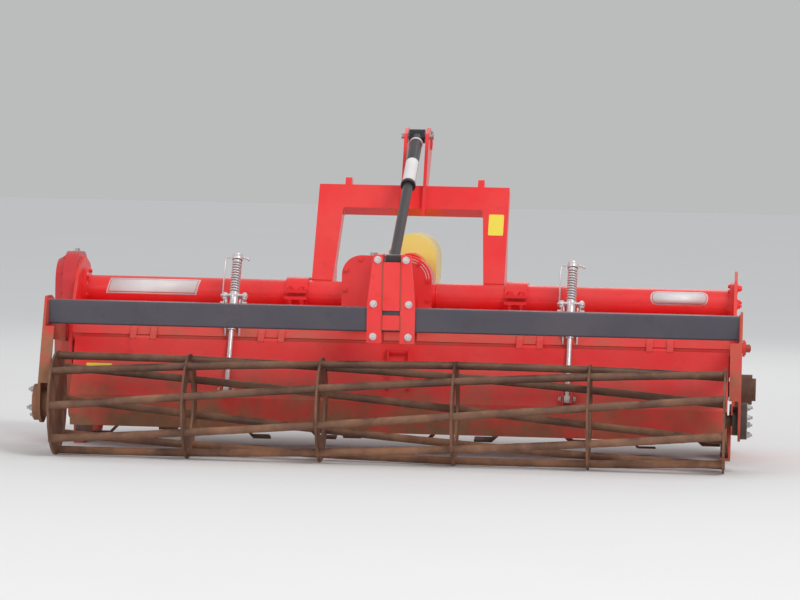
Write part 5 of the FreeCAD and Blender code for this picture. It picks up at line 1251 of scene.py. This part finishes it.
# weld beads on the bracket's seams, finished in the darker arm paint: painted shade for the shadow lines
# between its flanges and its shield
welds("bracket_welds_painted_shade", "roller_frame", bracket_paths, radius=0.0028, finish=arm_paint)
welds("beam_welds", "roller_frame", beam_paths, finish=arm_paint)
for side, name in ((-1, "left"), (1, "right")):
    bearing = (side * BEARING_OUT, ROLLER_AXIS.y, ROLLER_AXIS.z)
    bearing_bolts = around(bearing, BEARING_RING, BEARING_BOLTS, (side, 0, 0), first=0.45)
    bolts("roller_bearing_bolts_" + name, "roller_frame", bearing_bolts, across=0.019, shank=0.009)
pivot_places = [((corner.x, PIVOT.y, PIVOT.z), (math.copysign(1, corner.x), 0, 0))
                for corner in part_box("arm_pivots")]
painted_bolts("pivot_bolts", pivot_places, across=0.030, shank=0.004, finish=arm_paint)

# Strut
# A telescopic strut sets the working depth: a bar inside a barrel, pinned to the mast above and to
# the roller's beam below. A blank white label is wrapped round the barrel's lower half.
BARREL_RADIUS = 0.025
BARREL_LONG = 0.424
STRUT_LABEL = (0.55, 0.965)
STRUT_LABEL_HALF = 78
STRUT_LABEL_STEPS = 16
STRUT_LABEL_THICK = 0.0006
BAND_PLACE = 0.060
BAND_PROFILE = (
    # along, radius
    (0, 0.024), (0, 0.027), (0.012, 0.027), (0.012, 0.024),
)
LOCK_PLACE = BARREL_LONG - 0.0135
LOCK_PROFILE = (
    # along, radius
    (0, 0.024), (0.001, 0.0295), (0.012, 0.0295), (0.014, 0.0275), (0.014, 0.0245),
)
DARK_TONES = ((0.014, 0.013, 0.017, 1), (0.022, 0.020, 0.026, 1), (0.009, 0.008, 0.010, 1))
dark_paint = gloss_paint("dark_enamel", DARK_TONES, dust=0.06, low=0.5, high=1.3, roughness=0.32)
paint_node(dark_paint, "strut_barrel", "strut_bar")
strut_way = (STRUT_FOOT - STRUT_TOP).normalized()
strut_back = Vector((0, strut_way.z, -strut_way.y))


def on_barrel(radius):
    """The pairs of points of the wrapped label at a radius about the barrel's middle."""
    pairs = []
    for n in range(STRUT_LABEL_STEPS + 1):
        angle = math.radians(STRUT_LABEL_HALF * (2 * n / STRUT_LABEL_STEPS - 1))
        out = strut_back * math.cos(angle) + Vector((1, 0, 0)) * math.sin(angle)
        pairs.append([STRUT_TOP + strut_way * share * BARREL_LONG + out * radius for share in STRUT_LABEL])
    return pairs


under, over = on_barrel(BARREL_RADIUS), on_barrel(BARREL_RADIUS + STRUT_LABEL_THICK)
strut_label = curved_sheet("strut_label", under, over, label_vinyl, creased=True)
fixed(strut_label, "strut_barrel")
band_foot, lock_foot = STRUT_TOP + strut_way * BAND_PLACE, STRUT_TOP + strut_way * LOCK_PLACE
turned("strut_band", "strut_barrel", BAND_PROFILE, band_foot, strut_way, bright_zinc)
turned("strut_lock_ring", "strut_barrel", LOCK_PROFILE, lock_foot, strut_way, dark_paint, "dark_paint")

# Roller
# A cage of eight round bars, twisted along the roller so that one bar after another meets the
# soil, welded through six thin discs. It is caked with dry soil and rust.
DISCS = 6
FIRST_DISC = -1.250
DISC_THICK = 0.008
DISC_RADIUS = 0.1945
DISC_HOLE = 0.105
DISC_SIDES = 96
ROLLER_BARS = 8
BAR_RADIUS = 0.0145
BAR_CIRCLE = 0.1765
BAR_TWIST = math.radians(-75)
BAR_STATIONS = 121
BAR_SIDES = 12
CRUST = 0.0010
SEAM_RADIUS = 0.0028
SEAM_POINTS = 14
SEAM_SIDES = 5
SHAFT_RADIUS = 0.020
SHAFT_OUT = 1.322
END_PROFILE = (
    # along, radius
    (0, DISC_RADIUS), (DISC_THICK, DISC_RADIUS), (DISC_THICK, 0.034), (DISC_THICK + 0.006, 0.028),
    (DISC_THICK + 0.006, SHAFT_RADIUS), (SHAFT_OUT + FIRST_DISC + DISC_THICK, SHAFT_RADIUS),
)
caked_steel = make_worn_steel("roller_steel", (0.150, 0.088, 0.066, 1), (0.085, 0.048, 0.038, 1),
                              rusty=0.04, dust=0.85)


def make_cage_tree():
    """Twisted round bars about the roller's axis, with a weld at each disc and a crust of soil."""
    tree, given, result = new_group("roller bars", "Geometry", (
        ("Start", "Geometry"), ("Bars", "Int", ROLLER_BARS), ("Discs", "Int", DISCS),
        ("Circle", "Float", BAR_CIRCLE), ("Bar Radius", "Float", BAR_RADIUS), ("Twist", "Float", BAR_TWIST),
        ("Half Length", "Float", -FIRST_DISC), ("Crust", "Float", CRUST), ("Centre", "Vector"),
        ("Finish", "Material"),
    ), (("Cage", "Geometry"),))

    def times(first, second):
        """The product of two values."""
        return calculate(tree, "MULTIPLY", first, second)

    def on_circle(along, angle):
        """The point at a distance along the axis and an angle about it."""
        y = times(calculate(tree, "COSINE", angle), given["Circle"])
        z = times(calculate(tree, "SINE", angle), given["Circle"])
        return result_of(tree, "ShaderNodeCombineXYZ", {"X": along, "Y": y, "Z": z})

    def station(share):
        """The distance along the axis at a share of the roller's length."""
        return between(tree, share, 0.0, 1.0, times(given["Half Length"], -1.0), given["Half Length"])

    line = result_of(tree, "GeometryNodeCurvePrimitiveLine")
    fine = result_of(tree, "GeometryNodeResampleCurve", {"Curve": line, "Count": BAR_STATIONS})
    share = add_node(tree, "GeometryNodeSplineParameter").outputs["Factor"]
    bent = on_circle(station(share), times(share, given["Twist"]))
    bar = result_of(tree, "GeometryNodeSetPosition", {"Geometry": fine, "Position": bent})
    step = calculate(tree, "DIVIDE", math.tau, given["Bars"])
    number = result_of(tree, "GeometryNodeInputIndex")
    bars = result_of(tree, "GeometryNodeInstanceOnPoints", {
        "Points": result_of(tree, "GeometryNodePoints", {"Count": given["Bars"]}),
        "Instance": bar_along(tree, bar, BAR_SIDES, given["Bar Radius"]),
        "Rotation": result_of(tree, "ShaderNodeCombineXYZ", {"X": times(number, step)})})

    # a seam round each bar on both faces of each disc
    each = times(given["Bars"], 2.0)
    disc = calculate(tree, "FLOOR", calculate(tree, "DIVIDE", number, each))
    which = calculate(tree, "FLOOR", calculate(tree, "DIVIDE", calculate(tree, "MODULO", number, each), 2.0))
    face = between(tree, calculate(tree, "MODULO", number, 2.0), 0.0, 1.0, -0.5, 0.5)
    share = calculate(tree, "DIVIDE", disc, calculate(tree, "SUBTRACT", given["Discs"], 1.0))
    angle = calculate(tree, "ADD", times(share, given["Twist"]), times(which, step))
    inside = between(tree, share, 0.0, 1.0, DISC_THICK / 2, -DISC_THICK / 2)
    along = calculate(tree, "ADD", calculate(tree, "ADD", station(share), inside), times(face, DISC_THICK))
    loop = result_of(tree, "GeometryNodeCurvePrimitiveCircle", {
        "Resolution": SEAM_POINTS, "Radius": given["Bar Radius"]})
    seams = result_of(tree, "GeometryNodeInstanceOnPoints", {
        "Points": result_of(tree, "GeometryNodePoints", {
            "Count": times(given["Discs"], each), "Position": on_circle(along, angle)}),
        "Instance": bar_along(tree, loop, SEAM_SIDES, SEAM_RADIUS),
        "Rotation": (0, math.pi / 2, 0), "Scale": (1.0, 1.0, 0.8)})

    both = add_node(tree, "GeometryNodeJoinGeometry")
    for part in (bars, seams):
        tree.links.new(part, both.inputs[0])
    placed = result_of(tree, "GeometryNodeTransform", {
        "Geometry": both.outputs[0], "Translation": given["Centre"]})
    solid = result_of(tree, "GeometryNodeRealizeInstances", {0: placed})
    here = result_of(tree, "GeometryNodeInputPosition")
    lumps = between(tree, noise(tree, here, 38, 3, 0.6), 0.45, 0.75)
    push = result_of(tree, "ShaderNodeVectorMath", {
        0: result_of(tree, "GeometryNodeInputNormal"), "Scale": times(lumps, given["Crust"]),
    }, operation="SCALE")
    crusted = result_of(tree, "GeometryNodeSetPosition", {"Geometry": solid, "Offset": push})
    return close_tree(tree, crusted, given, result)


bars = grown("roller_bars", make_cage_tree(), Centre=ROLLER_AXIS, Finish=caked_steel)
fixed(bars, "roller")
pitch = (-2 * FIRST_DISC - DISC_THICK) / (DISCS - 1)
middle_discs = [((FIRST_DISC + pitch * n, ROLLER_AXIS.y, ROLLER_AXIS.z), (1, 0, 0))
                for n in range(1, DISCS - 1)]
discs = rings("roller_discs", "roller", middle_discs, DISC_HOLE, DISC_RADIUS, DISC_THICK, caked_steel,
              "soiled_steel", DISC_SIDES)
for side, name in ((-1, "left"), (1, "right")):
    inner = (side * (-FIRST_DISC - DISC_THICK), ROLLER_AXIS.y, ROLLER_AXIS.z)
    end = turned("roller_end_" + name, "roller", END_PROFILE, inner, (side, 0, 0), caked_steel,
                 "soiled_steel", DISC_SIDES)
    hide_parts("roller_cage")
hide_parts("roller_cage")
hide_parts("roller_cage")
